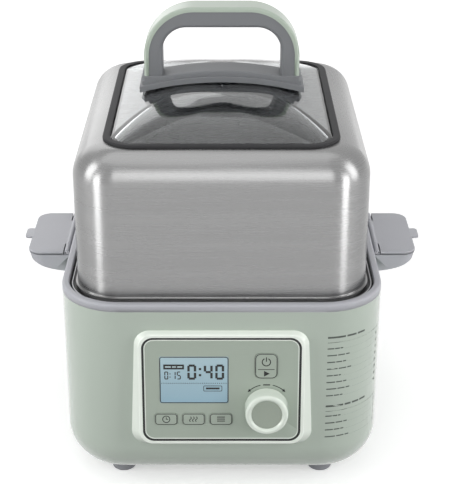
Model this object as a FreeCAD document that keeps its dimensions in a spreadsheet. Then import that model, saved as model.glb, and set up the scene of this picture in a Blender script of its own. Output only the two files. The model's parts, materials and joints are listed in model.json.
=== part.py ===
"""Electric food steamer: a tub-shaped base with a tank, a tall steel hood and two hinged refill cups.

X runs to the right, the control panel faces -Y and Z is up. The origin is on the table, under the middle of
the overall footprint. Most rims are offsets of one outline, the base seen from above, so a rim is given by its
inset from that outline.
"""

import FreeCAD, Part
import math
import os
import Sketcher

DOC = FreeCAD.newDocument("FoodSteamer")
Vector = FreeCAD.Vector

SIZES = {
    # base tub
    "base_width": 262.0, "base_depth": 304.0, "base_corner": 50.0, "base_bottom": 7.0, "housing_top": 165.6,
    "wall": 3.0, "bottom_round": 34.0, "footprint_shift": 12.4,
    # rim, seal and tank
    "collar_top": 172.0, "collar_inset": 6.0, "skirt_inset": 3.3, "skirt_bottom": 158.0, "ledge_inset": 12.0,
    "ledge_bottom": 162.0, "ledge_top": 164.5, "seal_thick": 1.0, "fin_top": 168.2,
    "lip_inset": 7.7, "lip_inner": 9.5, "lip_top": 169.6, "shelf_top": 167.0, "sheet": 1.5,
    "tank_upper": 15.0, "step_top": 142.0, "tank_lower": 24.5, "tank_bottom": 90.0,
    # feet and bottom
    "foot_radius": 10.25, "foot_tall": 11.2, "foot_x": 84.0, "foot_y": 117.0,
    "cover_width": 156.0, "cover_depth": 196.0, "cover_corner": 22.0, "cover_thick": 1.6, "cover_ledge": 12.0,
    "cover_screw_x": 70.0, "cover_screw_y": 90.0,
    # hood
    "hood_inset": 13.0, "hood_foot": 167.3, "hood_top": 290.0, "hood_round": 25.0, "hood_sheet": 1.2,
    "flange_inset": 11.3, "flange_bottom": 171.0, "hood_skirt": 17.0, "skirt_tip": 159.0,
    # glass and gasket
    "gasket_width": 189.0, "gasket_depth": 233.0, "gasket_corner": 27.0, "gasket_band": 6.0,
    "gasket_bottom": 286.0, "gasket_top": 292.4, "glass_edge": 291.2, "glass_thick": 4.0, "glass_rise": 19.8,
    # handle
    "grip_half": 65.0, "grip_inner": 49.5, "grip_top": 375.0, "grip_under": 357.5, "grip_corner": 42.0,
    "grip_inner_corner": 20.0, "grip_deep": 24.0, "grip_skin": 4.0, "grip_bottom": 316.6,
    "bar_half": 69.0, "bar_arc": 269.0, "bar_low": 303.2, "bar_step": 5.0, "bar_tall": 9.0,
    "bar_deep": 32.0, "bar_top_deep": 27.0, "screw_x": 57.0,
    # control panel, measured in its own tilted plane
    "panel_tilt": 4.0, "panel_front": 160.6, "panel_high": 99.7, "panel_width": 125.6, "panel_tall": 89.6,
    "panel_corner": 8.2, "panel_thick": 2.5, "panel_sunk": 0.5, "gasket_line": 1.2,
    "bezel_face_width": 133.0, "bezel_face_tall": 97.0, "bezel_corner": 11.0,
    "bezel_top_half": 69.6, "bezel_low_half": 74.5, "bezel_top": 149.5, "bezel_low": 44.0,
    "lcd_width": 55.4, "lcd_tall": 41.2, "lcd_x": -22.1, "lcd_y": 8.8,
    "key_width": 18.0, "key_tall": 10.2, "key_corner": 2.5, "key_y": -26.0, "key_pitch": 22.2, "key_x": -44.9,
    "start_tall": 21.8, "start_corner": 4.5, "start_x": 35.8, "start_y": 21.4, "key_proud": 0.3,
    "key_gap": 0.3, "board_depth": 13.0, "board_thick": 1.6,
    "knob_x": 36.2, "knob_y": -15.8, "knob_radius": 17.7, "knob_tall": 14.0, "shaft_radius": 3.0,
    # refill cups
    "hinge_x": 134.2, "hinge_high": 167.2, "knuckle": 2.2, "pin_radius": 1.2, "flap_out": 168.0,
    "flap_half": 43.3, "flap_top": 168.4, "flap_thick": 2.5, "flap_corner": 12.0, "cup_wall": 2.0,
    "cup_top": 165.5, "cup_out": 167.6, "barrel_half": 25.5, "slot_width": 26.0, "slot_tall": 3.6,
    "duct_high": 153.8, "duct_width": 30.0, "duct_tall": 6.4,
    # heater and tray
    "plate_radius": 70.0, "plate_thick": 5.0, "tray_inset": 22.5, "tray_lip": 4.5,
    # power inlet
    "inlet_x": 62.0, "inlet_high": 52.0, "inlet_width": 28.0, "inlet_tall": 21.0,
}


class Size:
    """A length with its value and the expression that ties a property to the sheet."""

    def __init__(self, value, text):
        self.value = float(value)
        self.text = text

    def __add__(self, other):
        other = as_size(other)
        return Size(self.value + other.value, f"({self.text} + {other.text})")

    def __sub__(self, other):
        other = as_size(other)
        return Size(self.value - other.value, f"({self.text} - {other.text})")

    def __mul__(self, other):
        other = as_size(other)
        return Size(self.value * other.value, f"({self.text} * {other.text})")

    def __neg__(self):
        return self * -1

    __radd__ = __add__
    __rmul__ = __mul__


def as_size(number):
    return number if isinstance(number, Size) else Size(number, f"({float(number)})")


def cell(name):
    """The size kept in the sheet under this name."""
    return Size(SIZES[name], f"Sizes.{name}")


def write_sheet():
    sheet = DOC.addObject("Spreadsheet::Sheet", "Sizes")
    for row, (name, value) in enumerate(SIZES.items(), start=1):
        sheet.set(f"A{row}", name)
        sheet.set(f"B{row}", str(value))
        sheet.setAlias(f"B{row}", name)
    DOC.recompute()


def bind(thing, path, size):
    size = as_size(size)
    if "." not in path:
        setattr(thing, path, size.value)
    thing.setExpression(path, size.text)


# Bodies, sketches and features

PARTS = []


def new_body(name, x=0.0, y=0.0, z=0.0, rotation=None):
    """A sub-part whose own frame is moved to x, y, z, with y counted from the middle of the base."""
    body = DOC.addObject("PartDesign::Body", name)
    body.Label = name
    x, y, z = as_size(x), as_size(y) + cell("footprint_shift"), as_size(z)
    body.Placement = FreeCAD.Placement(Vector(x.value, y.value, z.value), rotation or FreeCAD.Rotation())
    for axis, size in (("x", x), ("y", y), ("z", z)):
        body.setExpression(f"Placement.Base.{axis}", size.text)
    PARTS.append(body)
    return body


def panel_body(name):
    """A sub-part in the panel's own frame: X right, Y up along the panel and Z out towards the cook."""
    turn = FreeCAD.Rotation(Vector(1, 0, 0), 90 - SIZES["panel_tilt"])
    return new_body(name, 0, -cell("panel_front"), cell("panel_high"), turn)


def new_sketch(body, role, offset=0.0, x=0.0, y=0.0, tilt=0.0):
    sketch = body.newObject("Sketcher::SketchObject", f"{body.Name}Sketch")
    plane = next(item for item in body.Origin.OriginFeatures if item.Role == role)
    sketch.AttachmentSupport = [(plane, "")]
    sketch.MapMode = "FlatFace"
    x, y, offset = as_size(x), as_size(y), as_size(offset)
    sketch.AttachmentOffset = FreeCAD.Placement(
        Vector(x.value, y.value, offset.value), FreeCAD.Rotation(Vector(1, 0, 0), tilt))
    for axis, size in (("x", x), ("y", y), ("z", offset)):
        sketch.setExpression(f"AttachmentOffset.Base.{axis}", size.text)
    return sketch


def dimension(sketch, kind, *where, size):
    """Adds one driving dimension and ties it to the sheet."""
    size = as_size(size)
    index = sketch.addConstraint(Sketcher.Constraint(kind, *where, size.value))
    name = f"size{index}"
    sketch.renameConstraint(index, name)
    sketch.setExpression(f"Constraints.{name}", size.text)


def draw_rounded(sketch, width, depth, corner):
    """A rounded rectangle about the sketch's origin."""
    width, depth, corner = as_size(width), as_size(depth), as_size(corner)
    half_x, half_y, r = width.value / 2, depth.value / 2, corner.value
    first = sketch.GeometryCount
    corners = [(half_x - r, -half_y + r, -90), (half_x - r, half_y - r, 0), (-half_x + r, half_y - r, 90),
               (-half_x + r, -half_y + r, 180)]
    for index, (x, y, start) in enumerate(corners):
        before = corners[index - 1]
        leave, enter = math.radians(before[2] + 90), math.radians(start)
        sketch.addGeometry(Part.LineSegment(
            Vector(before[0] + r * math.cos(leave), before[1] + r * math.sin(leave), 0),
            Vector(x + r * math.cos(enter), y + r * math.sin(enter), 0)), False)
        circle = Part.Circle(Vector(x, y, 0), Vector(0, 0, 1), r)
        sketch.addGeometry(Part.ArcOfCircle(circle, enter, enter + math.pi / 2), False)
    for side in range(4):
        line, arc = first + 2 * side, first + 2 * side + 1
        following = first + (2 * side + 2) % 8
        sketch.addConstraint(Sketcher.Constraint("Tangent", line, 2, arc, 1))
        sketch.addConstraint(Sketcher.Constraint("Tangent", arc, 2, following, 1))
        sketch.addConstraint(Sketcher.Constraint("Horizontal" if side in (0, 2) else "Vertical", line))
        if side:
            sketch.addConstraint(Sketcher.Constraint("Equal", first + 1, arc))
    dimension(sketch, "Radius", first + 1, size=corner)
    dimension(sketch, "DistanceX", -1, 1, first + 2, 1, size=width * 0.5)
    dimension(sketch, "DistanceX", first + 6, 1, -1, 1, size=width * 0.5)
    dimension(sketch, "DistanceY", -1, 1, first + 4, 1, size=depth * 0.5)
    dimension(sketch, "DistanceY", first, 1, -1, 1, size=depth * 0.5)


def pin_point(sketch, geometry, point, x, y):
    """Ties one point of the sketch to its distances from the origin."""
    x, y = as_size(x), as_size(y)
    if abs(x.value) < 1e-9:
        sketch.addConstraint(Sketcher.Constraint("PointOnObject", geometry, point, -2))
    else:
        dimension(sketch, "DistanceX", -1, 1, geometry, point, size=x)
    if abs(y.value) < 1e-9:
        sketch.addConstraint(Sketcher.Constraint("PointOnObject", geometry, point, -1))
    else:
        dimension(sketch, "DistanceY", -1, 1, geometry, point, size=y)


def draw_circle(sketch, radius, x=0.0, y=0.0):
    x, y, radius = as_size(x), as_size(y), as_size(radius)
    index = sketch.addGeometry(
        Part.Circle(Vector(x.value, y.value, 0), Vector(0, 0, 1), radius.value), False)
    dimension(sketch, "Radius", index, size=radius)
    pin_point(sketch, index, 3, x, y)


def arc_between(start, end, radius):
    """An arc of this radius from start to end; it turns left where the radius is positive."""
    chord = end - start
    side = Vector(-chord.y, chord.x, 0).normalize() * math.copysign(1, radius)
    reach = math.sqrt(radius ** 2 - (chord.Length / 2) ** 2)
    centre = (start + end) * 0.5 + side * reach
    middle = centre - side * abs(radius)
    return Part.Arc(start, middle, end)


def draw_profile(sketch, points):
    """A closed outline. Each point is (x, y) or (x, y, radius), the radius bending the edge that leaves it."""
    corners = [(as_size(p[0]), as_size(p[1]), as_size(p[2]) if len(p) > 2 else None) for p in points]
    first = sketch.GeometryCount
    count = len(corners)
    ends = []
    for index, (x, y, bend) in enumerate(corners):
        start = Vector(x.value, y.value, 0)
        following = corners[(index + 1) % count]
        end = Vector(following[0].value, following[1].value, 0)
        if bend is None:
            sketch.addGeometry(Part.LineSegment(start, end), False)
            ends.append((1, 2))
            continue
        arc = arc_between(start, end, bend.value)
        sketch.addGeometry(arc, False)
        ends.append((1, 2) if bend.value > 0 else (2, 1))
    for index in range(count):
        following = (index + 1) % count
        sketch.addConstraint(Sketcher.Constraint(
            "Coincident", first + index, ends[index][1], first + following, ends[following][0]))
    for index, (x, y, bend) in enumerate(corners):
        pin_point(sketch, first + index, ends[index][0], x, y)
        if bend is not None:
            size = bend if bend.value > 0 else -bend
            dimension(sketch, "Radius", first + index, size=size)


def draw_tapered(sketch, low_half, top_half, low, top, corner):
    """A rounded outline that is narrower at its top than at its foot."""
    slope = math.atan2(low_half.value - top_half.value, top.value - low.value)
    foot_cut = math.tan(math.pi / 4 + slope / 2)
    head_cut = math.tan(math.pi / 4 - slope / 2)
    across, along = math.sin(slope), math.cos(slope)
    foot, head = corner * foot_cut, corner * head_cut
    right = [
        (low_half - foot, low, corner), (low_half - foot * across, low + foot * along),
        (top_half + head * across, top - head * along, corner), (top_half - head, top),
    ]
    left = [(-x, y) for x, y, *_ in right]
    draw_profile(sketch, [(*left[0], ), *right[:3], right[3], (*left[3], corner), left[2], (*left[1], corner)])


def pad(body, sketch, length, reverse=False, both=False):
    feature = body.newObject("PartDesign::Pad", f"{body.Name}Pad")
    feature.Profile = sketch
    bind(feature, "Length", length)
    feature.Reversed = reverse
    feature.SideType = "Symmetric" if both else "One side"
    DOC.recompute()
    return feature


def pocket(body, sketch, length, reverse=False, both=False):
    """A cut, which has to take something away."""
    before = body.Tip.Shape.Volume
    feature = body.newObject("PartDesign::Pocket", f"{body.Name}Pocket")
    feature.Profile = sketch
    bind(feature, "Length", length)
    feature.Reversed = reverse
    feature.SideType = "Symmetric" if both else "One side"
    DOC.recompute()
    if not feature.Shape.Volume < before - 0.01:
        raise ValueError(f"{feature.Name} cuts nothing")
    return feature


def round_edges(body, radius, chosen):
    """Rounds the edges that the test picks."""
    base = body.Tip
    names = [f"Edge{i}" for i, edge in enumerate(base.Shape.Edges, start=1) if chosen(edge)]
    if not names:
        raise ValueError(f"{body.Name} has no such edge to round")
    feature = body.newObject("PartDesign::Fillet", f"{body.Name}Round")
    feature.Base = (base, names)
    bind(feature, "Radius", radius)
    DOC.recompute()
    if feature.Shape.isNull() or not feature.Shape.isValid():
        raise ValueError(f"{feature.Name} failed")
    return feature


def hollow_out(body, wall, level, from_below=False):
    """Turns the solid into an open tub with walls of one thickness, open at this level."""
    base = body.Tip
    level = as_size(level).value

    def is_open(face):
        box = face.BoundBox
        return box.ZMax < level + 0.01 if from_below else box.ZMin > level - 0.01
    lid = next(f"Face{i}" for i, face in enumerate(base.Shape.Faces, start=1) if is_open(face))
    feature = body.newObject("PartDesign::Thickness", f"{body.Name}Hollow")
    feature.Base = (base, [lid])
    bind(feature, "Value", wall)
    feature.Reversed = True
    DOC.recompute()
    if not feature.Shape.isValid() or feature.Shape.Volume > base.Shape.Volume / 2:
        raise ValueError(f"{feature.Name} failed")


def revolve(body, sketch, axis="V_Axis"):
    feature = body.newObject("PartDesign::Revolution", f"{body.Name}Turned")
    feature.Profile = sketch
    feature.ReferenceAxis = (sketch, [axis])
    feature.Angle = 360
    DOC.recompute()
    return feature


def loft(body, sections, cut=False):
    kind = "SubtractiveLoft" if cut else "AdditiveLoft"
    feature = body.newObject(f"PartDesign::{kind}", f"{body.Name}Loft")
    feature.Profile = sections[0]
    feature.Sections = sections[1:]
    DOC.recompute()
    return feature


def block(body, width, depth, corner, low, high, x=0.0, y=0.0):
    """A pad with a rounded rectangular outline, from one level to another."""
    sketch = new_sketch(body, "XY_Plane", low, x, y)
    draw_rounded(sketch, width, depth, corner)
    return pad(body, sketch, as_size(high) - low)


def hollow(body, width, depth, corner, low, high, x=0.0, y=0.0):
    """A cut with a rounded rectangular outline, from one level to another."""
    sketch = new_sketch(body, "XY_Plane", low, x, y)
    draw_rounded(sketch, width, depth, corner)
    return pocket(body, sketch, as_size(high) - low, reverse=True)


def rim(inset):
    """Width, depth and corner of the base's outline drawn in by this inset."""
    return (cell("base_width") - 2 * as_size(inset), cell("base_depth") - 2 * as_size(inset),
            cell("base_corner") - inset)


def studs(body, radius, low, high, places):
    """Round pillars at the given places."""
    sketch = new_sketch(body, "XY_Plane", low)
    for x, y in places:
        draw_circle(sketch, radius, x, y)
    return pad(body, sketch, as_size(high) - low)


def bores(body, radius, low, high, places):
    """Round holes at the given places."""
    sketch = new_sketch(body, "XY_Plane", low)
    for x, y in places:
        draw_circle(sketch, radius, x, y)
    return pocket(body, sketch, as_size(high) - low, reverse=True)


def four_corners(x, y):
    return [(x, y), (-x, y), (x, -y), (-x, -y)]


def inset_of(point, width, depth, corner):
    """How far inside a rounded rectangle a point lies."""
    across = abs(point.x) - (width / 2 - corner)
    along = abs(point.y) - (depth / 2 - corner)
    outside = math.hypot(max(across, 0), max(along, 0)) + min(max(across, along), 0)
    return corner - outside


def middle_of(edge):
    return edge.valueAt((edge.FirstParameter + edge.LastParameter) / 2)


def at_level(edge, level, slack=0.05):
    box = edge.BoundBox
    return abs(box.ZMin - level) < slack and abs(box.ZMax - level) < slack


def rim_edges(level, inset, outline=("base_width", "base_depth", "base_corner")):
    """A test for the edges of the rim at this level and inset."""
    width, depth, corner = (SIZES[name] for name in outline)

    def chosen(edge):
        near = abs(inset_of(middle_of(edge), width, depth, corner) - inset) < 0.3
        return at_level(edge, level) and near
    return chosen


# Base

def build_housing():
    body = new_body("base_housing")
    low, top, wall = cell("base_bottom"), cell("housing_top"), cell("wall")
    floor = low + wall
    block(body, *rim(0), low, top)
    round_edges(body, cell("bottom_round"), rim_edges(SIZES["base_bottom"], 0))
    hollow_out(body, wall, top)
    feet = four_corners(cell("foot_x"), cell("foot_y"))
    studs(body, 13.5, floor - 1, floor + 4.2, feet)
    bores(body, 10.6, low - 2, low + 4.2, feet)
    bores(body, 1.8, low, low + 10, feet)
    screws = four_corners(cell("cover_screw_x"), cell("cover_screw_y"))
    studs(body, 5.0, floor - 0.5, floor + 12, screws)
    ledge = cell("cover_ledge")
    hollow(body, cell("cover_width"), cell("cover_depth"), cell("cover_corner"), low - 1,
           low + cell("cover_thick"))
    hollow(body, cell("cover_width") - 2 * ledge, cell("cover_depth") - 2 * ledge,
           cell("cover_corner") - ledge + 2, low, floor + 1)
    bores(body, 1.3, low, floor + 10, screws)
    # window behind the control panel
    window = new_sketch(body, "XZ_Plane", cell("base_depth") * 0.5 + 4, 0, cell("panel_high") - 1)
    draw_rounded(window, 121, 86, 6)
    pocket(body, window, 12)
    # slots that the two cups drain through
    drain = new_sketch(body, "YZ_Plane", 0, 0, cell("duct_high"))
    draw_rounded(drain, cell("duct_width") + 0.4, cell("duct_tall") + 0.4, 2.2)
    pocket(body, drain, cell("base_width") + 10, both=True)
    # hole for the power inlet
    rear = new_sketch(body, "XZ_Plane", -cell("base_depth") * 0.5 - 4, cell("inlet_x"), cell("inlet_high"))
    draw_rounded(rear, cell("inlet_width") + 0.4, cell("inlet_tall") + 0.4, 2)
    pocket(body, rear, 12, reverse=True)


def build_collar():
    body = new_body("rim_collar")
    seam, top = cell("housing_top"), cell("collar_top")
    block(body, *rim(0), seam, top)
    block(body, *rim(cell("skirt_inset")), cell("skirt_bottom"), seam)
    hollow(body, *rim(cell("ledge_inset")), cell("skirt_bottom") - 1, top + 1)
    hollow(body, *rim(cell("collar_inset")), cell("ledge_top"), top + 1)
    hollow(body, *rim(cell("collar_inset")), cell("skirt_bottom") - 1, cell("ledge_bottom"))
    round_edges(body, 2.2, rim_edges(SIZES["collar_top"], 0))
    round_edges(body, 1.2, rim_edges(SIZES["collar_top"], SIZES["collar_inset"]))


def build_seal():
    body = new_body("tank_seal")
    low = cell("ledge_top")
    block(body, *rim(cell("collar_inset")), low, low + cell("seal_thick"))
    block(body, *rim(cell("collar_inset")), low + cell("seal_thick"), cell("fin_top"))
    hollow(body, *rim(cell("lip_inset")), low + cell("seal_thick"), cell("fin_top") + 1)
    hollow(body, *rim(cell("ledge_inset") + 1), low - 1, low + cell("seal_thick") + 1)


def build_tank():
    body = new_body("water_tank")
    sheet = cell("sheet")
    upper, lower = cell("tank_upper"), cell("tank_lower")
    bottom, step, shelf = cell("tank_bottom"), cell("step_top"), cell("shelf_top")
    block(body, *rim(lower), bottom, step)
    block(body, *rim(upper), step - sheet, shelf)
    block(body, *rim(cell("lip_inset")), shelf - sheet, cell("lip_top"))
    hollow(body, *rim(cell("lip_inner")), shelf, cell("lip_top") + 1)
    hollow(body, *rim(upper + sheet), step, shelf + 1)
    hollow(body, *rim(lower + sheet), bottom + sheet, step + 1)
    round_edges(body, 12.0, rim_edges(SIZES["tank_bottom"], SIZES["tank_lower"]))
    inner = SIZES["tank_lower"] + SIZES["sheet"]
    round_edges(body, 10.5, rim_edges(SIZES["tank_bottom"] + SIZES["sheet"], inner))
    round_edges(body, 0.7, rim_edges(SIZES["lip_top"], SIZES["lip_inset"]))
    drain = new_sketch(body, "YZ_Plane", 0, 0, cell("duct_high"))
    draw_rounded(drain, cell("duct_width") + 0.4, cell("duct_tall") + 0.4, 2.2)
    pocket(body, drain, cell("base_width"), both=True)


def build_foot(name, side_x, side_y):
    body = new_body(name, side_x * cell("foot_x"), side_y * cell("foot_y"))
    sketch = new_sketch(body, "XZ_Plane")
    r, tall = cell("foot_radius"), cell("foot_tall")
    draw_profile(sketch, [
        (3.4, 0.0), (r - 2.5, 0.0, 2.5), (r, 2.5), (r, tall), (1.7, tall), (1.7, 5.0), (3.4, 5.0)])
    revolve(body, sketch)


def build_bottom_cover():
    body = new_body("bottom_cover")
    low, thick, ledge = cell("base_bottom"), cell("cover_thick"), cell("cover_ledge")
    width, depth, corner = cell("cover_width"), cell("cover_depth"), cell("cover_corner")
    block(body, width - 0.6, depth - 0.6, corner - 0.3, low, low + thick)
    block(body, width - 2 * ledge - 0.6, depth - 2 * ledge - 0.6, corner - ledge + 1.7, low + thick, low + 3)
    posts = four_corners(as_size(45.0), as_size(30.0))
    studs(body, 3.5, low + 3, low + 9, posts)
    bores(body, 1.3, low + 4, low + 10, posts)
    bores(body, 1.7, low - 1, low + 4, four_corners(cell("cover_screw_x"), cell("cover_screw_y")))
    # one cooling slot, repeated as two rows
    slot = new_sketch(body, "XY_Plane", low - 1, -48.0, 56.0)
    draw_rounded(slot, 3.2, 26, 1.59)
    first = pocket(body, slot, 6, reverse=True)
    row = body.newObject("PartDesign::LinearPattern", "VentRow")
    row.Originals = [first]
    row.Direction = (slot, ["H_Axis"])
    row.Length = 96
    row.Occurrences = 9
    body.Tip = row
    DOC.recompute()


# Control panel

KEYS = {
    "preset_button": (0, "key_tall", "key_corner"),
    "warm_button": (1, "key_tall", "key_corner"),
    "menu_button": (2, "key_tall", "key_corner"),
    "start_button": (None, "start_tall", "start_corner"),
}


def key_place(name):
    """The middle of a key on the panel."""
    column = KEYS[name][0]
    if column is None:
        return cell("start_x"), cell("start_y")
    return cell("key_x") + column * cell("key_pitch"), cell("key_y")


def build_bezel():
    body = new_body("control_bezel")
    half_deep = cell("base_depth") * 0.5
    back = new_sketch(body, "XZ_Plane", half_deep)
    top_half, low_half = cell("bezel_top_half"), cell("bezel_low_half")
    corner = cell("bezel_corner")
    draw_tapered(back, low_half, top_half, cell("bezel_low"), cell("bezel_top"), corner + 2)
    tilt = SIZES["panel_tilt"]
    front = new_sketch(body, "XZ_Plane", cell("panel_front"), 0, cell("panel_high"), -tilt)
    draw_rounded(front, cell("bezel_face_width"), cell("bezel_face_tall"), corner)
    loft(body, [back, front])
    line = cell("gasket_line")
    opening = new_sketch(body, "XZ_Plane", cell("panel_front"), 0, cell("panel_high"), -tilt)
    draw_rounded(opening, cell("panel_width") + 2 * line, cell("panel_tall") + 2 * line,
                 cell("panel_corner") + line)
    pocket(body, opening, 40, both=True)
    plane_normal = Vector(0, -math.cos(math.radians(tilt)), math.sin(math.radians(tilt)))
    plane_point = Vector(0, -SIZES["panel_front"], SIZES["panel_high"])

    def front_rim(edge):
        spot = middle_of(edge)
        on_face = abs((spot - plane_point).dot(plane_normal)) < 0.05
        ends = [abs((v.Point - plane_point).dot(plane_normal)) < 0.05 for v in edge.Vertexes]
        outer = abs(spot.x) > 60 or abs(spot.z - SIZES["panel_high"]) > 47.5
        wide = inset_of(Vector(spot.x, (spot.z - SIZES["panel_high"]) / math.cos(math.radians(tilt)), 0),
                        SIZES["bezel_face_width"], SIZES["bezel_face_tall"], SIZES["bezel_corner"])
        return on_face and all(ends) and outer and abs(wide) < 0.6
    round_edges(body, 1.6, front_rim)


def build_panel_gasket():
    body = panel_body("panel_gasket")
    line = cell("gasket_line")
    block(body, cell("panel_width") + 2 * line, cell("panel_tall") + 2 * line, cell("panel_corner") + line,
          -3.0, -0.3)
    hollow(body, cell("panel_width"), cell("panel_tall"), cell("panel_corner"), -4.0, 1.0)


def build_panel():
    body = panel_body("control_panel")
    front = -cell("panel_sunk")
    back = front - cell("panel_thick")
    block(body, cell("panel_width"), cell("panel_tall"), cell("panel_corner"), back, front)
    hollow(body, cell("lcd_width") + 0.2, cell("lcd_tall") + 0.2, 1.6, back - 1, front + 1,
           cell("lcd_x"), cell("lcd_y"))
    gap = cell("key_gap")
    for name, (_, tall, corner) in KEYS.items():
        x, y = key_place(name)
        hollow(body, cell("key_width") + 2 * gap, cell(tall) + 2 * gap, cell(corner) + gap, back - 1,
               front + 1, x, y)
    bores(body, 4.0, back - 1, front + 1, [(cell("knob_x"), cell("knob_y"))])


def build_key(name):
    body = panel_body(name)
    x, y = key_place(name)
    tall, corner = cell(KEYS[name][1]), cell(KEYS[name][2])
    back = -cell("panel_sunk") - cell("panel_thick")
    flange = back - 0.2
    block(body, cell("key_width"), tall, corner, flange, cell("key_proud"), x, y)
    round_edges(body, 0.4, lambda edge: at_level(edge, SIZES["key_proud"]))
    block(body, cell("key_width") + 1.6, tall + 1.6, corner + 0.8, flange - 1, flange, x, y)
    studs(body, 1.8, -7.5, flange - 1, [(x, y)])


def build_knob():
    body = panel_body("time_knob")
    sketch = new_sketch(body, "XZ_Plane", -cell("knob_y"), cell("knob_x"), 0)
    r, tall, hub = cell("knob_radius"), cell("knob_tall"), cell("shaft_radius")
    draw_profile(sketch, [
        (hub, 0.9), (5.0, 0.9), (5.0, 10.5), (15.4, 10.5), (15.6, 0.1), (r, 0.1), (r - 0.5, tall - 2.0, 2.0),
        (r - 2.4, tall), (r - 3.4, tall, 2.6), (r - 5.4, tall - 1.5), (0.0, tall - 1.5), (0.0, 9.0),
        (hub, 9.0)])
    axis = "V_Axis"
    revolve(body, sketch, axis)


def build_encoder():
    place = [(cell("knob_x"), cell("knob_y"))]
    x, y = place[0]
    board = -cell("board_depth")
    body = panel_body("encoder_body")
    block(body, 12.4, 12.4, 0.8, board, board + 6.5, x, y)
    studs(body, 3.6, board + 6.5, -3.4, place)
    bores(body, cell("shaft_radius") + 0.05, board + 1.5, 0, place)
    shaft = panel_body("encoder_shaft")
    studs(shaft, cell("shaft_radius"), board + 1.7, 8.8, place)


def build_display():
    window = panel_body("lcd_window")
    block(window, cell("lcd_width"), cell("lcd_tall"), 1.5, -2.2, -0.4, cell("lcd_x"), cell("lcd_y"))
    module = panel_body("lcd_module")
    block(module, cell("lcd_width") + 4, cell("lcd_tall") + 3, 1.0, -9.5, -3.0, cell("lcd_x"),
          cell("lcd_y") + 0.4)


def build_control_board():
    board = -cell("board_depth")
    body = panel_body("control_board")
    block(body, 116, 80, 3, board - cell("board_thick"), board)
    for x, y, wide, deep, tall in ((-40, 20, 14, 14, 2), (-10, 8, 9, 12, 2), (30, 0, 24, 6, 4)):
        block(body, wide, deep, 0.5, board - cell("board_thick") - tall, board - cell("board_thick"), x, y)
    switches = panel_body("button_switches")
    for name in KEYS:
        x, y = key_place(name)
        block(switches, 6, 6, 0.4, board, board + 3.4, x, y)
        studs(switches, 1.7, board + 3.4, -8.6, [(x, y)])


# Refill cups, drawn on the right side; the left one is the same piece turned half round

def side_body(name, side):
    turn = FreeCAD.Rotation(Vector(0, 0, 1), 0 if side > 0 else 180)
    return new_body(name, rotation=turn)


def cylinder_along(body, radius, low, high):
    """A round bar on the hinge line between two places along Y."""
    sketch = new_sketch(body, "XZ_Plane", -as_size(high))
    draw_circle(sketch, radius, cell("hinge_x"), cell("hinge_high"))
    return pad(body, sketch, as_size(high) - low)


def bore_along(body, radius):
    sketch = new_sketch(body, "XZ_Plane")
    draw_circle(sketch, radius, cell("hinge_x"), cell("hinge_high"))
    return pocket(body, sketch, 100, both=True)


def build_cup(name, side):
    body = side_body(name, side)
    wall, out, top = cell("cup_wall"), cell("cup_out"), cell("cup_top")
    near = cell("base_width") * 0.5
    sketch = new_sketch(body, "XZ_Plane")
    draw_profile(sketch, [(near, 150.4, 70.0), (out - 1.6, 160.0), (out, top), (near, top)])
    pad(body, sketch, 2 * (cell("flap_half") + 0.2), both=True)

    def upright(edge):
        box = edge.BoundBox
        return box.XMin > SIZES["cup_out"] - 3 and box.YLength < 0.1 and box.ZLength > 2
    round_edges(body, cell("flap_corner") - 0.5, upright)
    middle, span = (near + out) * 0.5, out - near - 2 * wall
    hollow(body, span, 2 * (cell("flap_half") + 0.2 - wall), cell("flap_corner") - 2.5, top - 4.3, top + 1,
           middle, 0)
    # sloping sump that drains towards the tank
    sump = new_sketch(body, "XZ_Plane")
    draw_profile(sump, [(near + wall, 152.0, 68.0), (out - 4.4, 161.0), (out - 4.4, top), (near + wall, top)])
    pocket(body, sump, 60, both=True)
    barrel_room = new_sketch(body, "XZ_Plane")
    draw_circle(barrel_room, cell("knuckle") + 0.5, cell("hinge_x"), cell("hinge_high"))
    pocket(body, barrel_room, 2 * (cell("barrel_half") + 0.4), both=True)
    duct = new_sketch(body, "YZ_Plane", cell("base_width") * 0.5 - cell("tank_upper") - 3, 0,
                      cell("duct_high"))
    draw_rounded(duct, cell("duct_width"), cell("duct_tall"), 2)
    pad(body, duct, cell("tank_upper") + 4)
    slot = new_sketch(body, "YZ_Plane", near - cell("tank_upper") - 5, 0, cell("duct_high") + 0.1)
    draw_rounded(slot, cell("slot_width"), cell("slot_tall"), 1.5)
    pocket(body, slot, cell("tank_upper") + 12, reverse=True)
    # two hinge ears with their knuckles
    barrel = cell("barrel_half")
    for low, high in ((barrel + 0.4, as_size(42.0)), (as_size(-42.0), -barrel - 0.4)):
        cylinder_along(body, cell("knuckle"), low, high)
        ear = new_sketch(body, "XZ_Plane", -high)
        x, z = cell("hinge_x"), cell("hinge_high")
        draw_profile(ear, [(x - 2.2, top - 1), (x + 2.2, top - 1), (x + 2.2, z), (x - 2.2, z)])
        pad(body, ear, high - low)
    bore_along(body, cell("pin_radius"))


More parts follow.
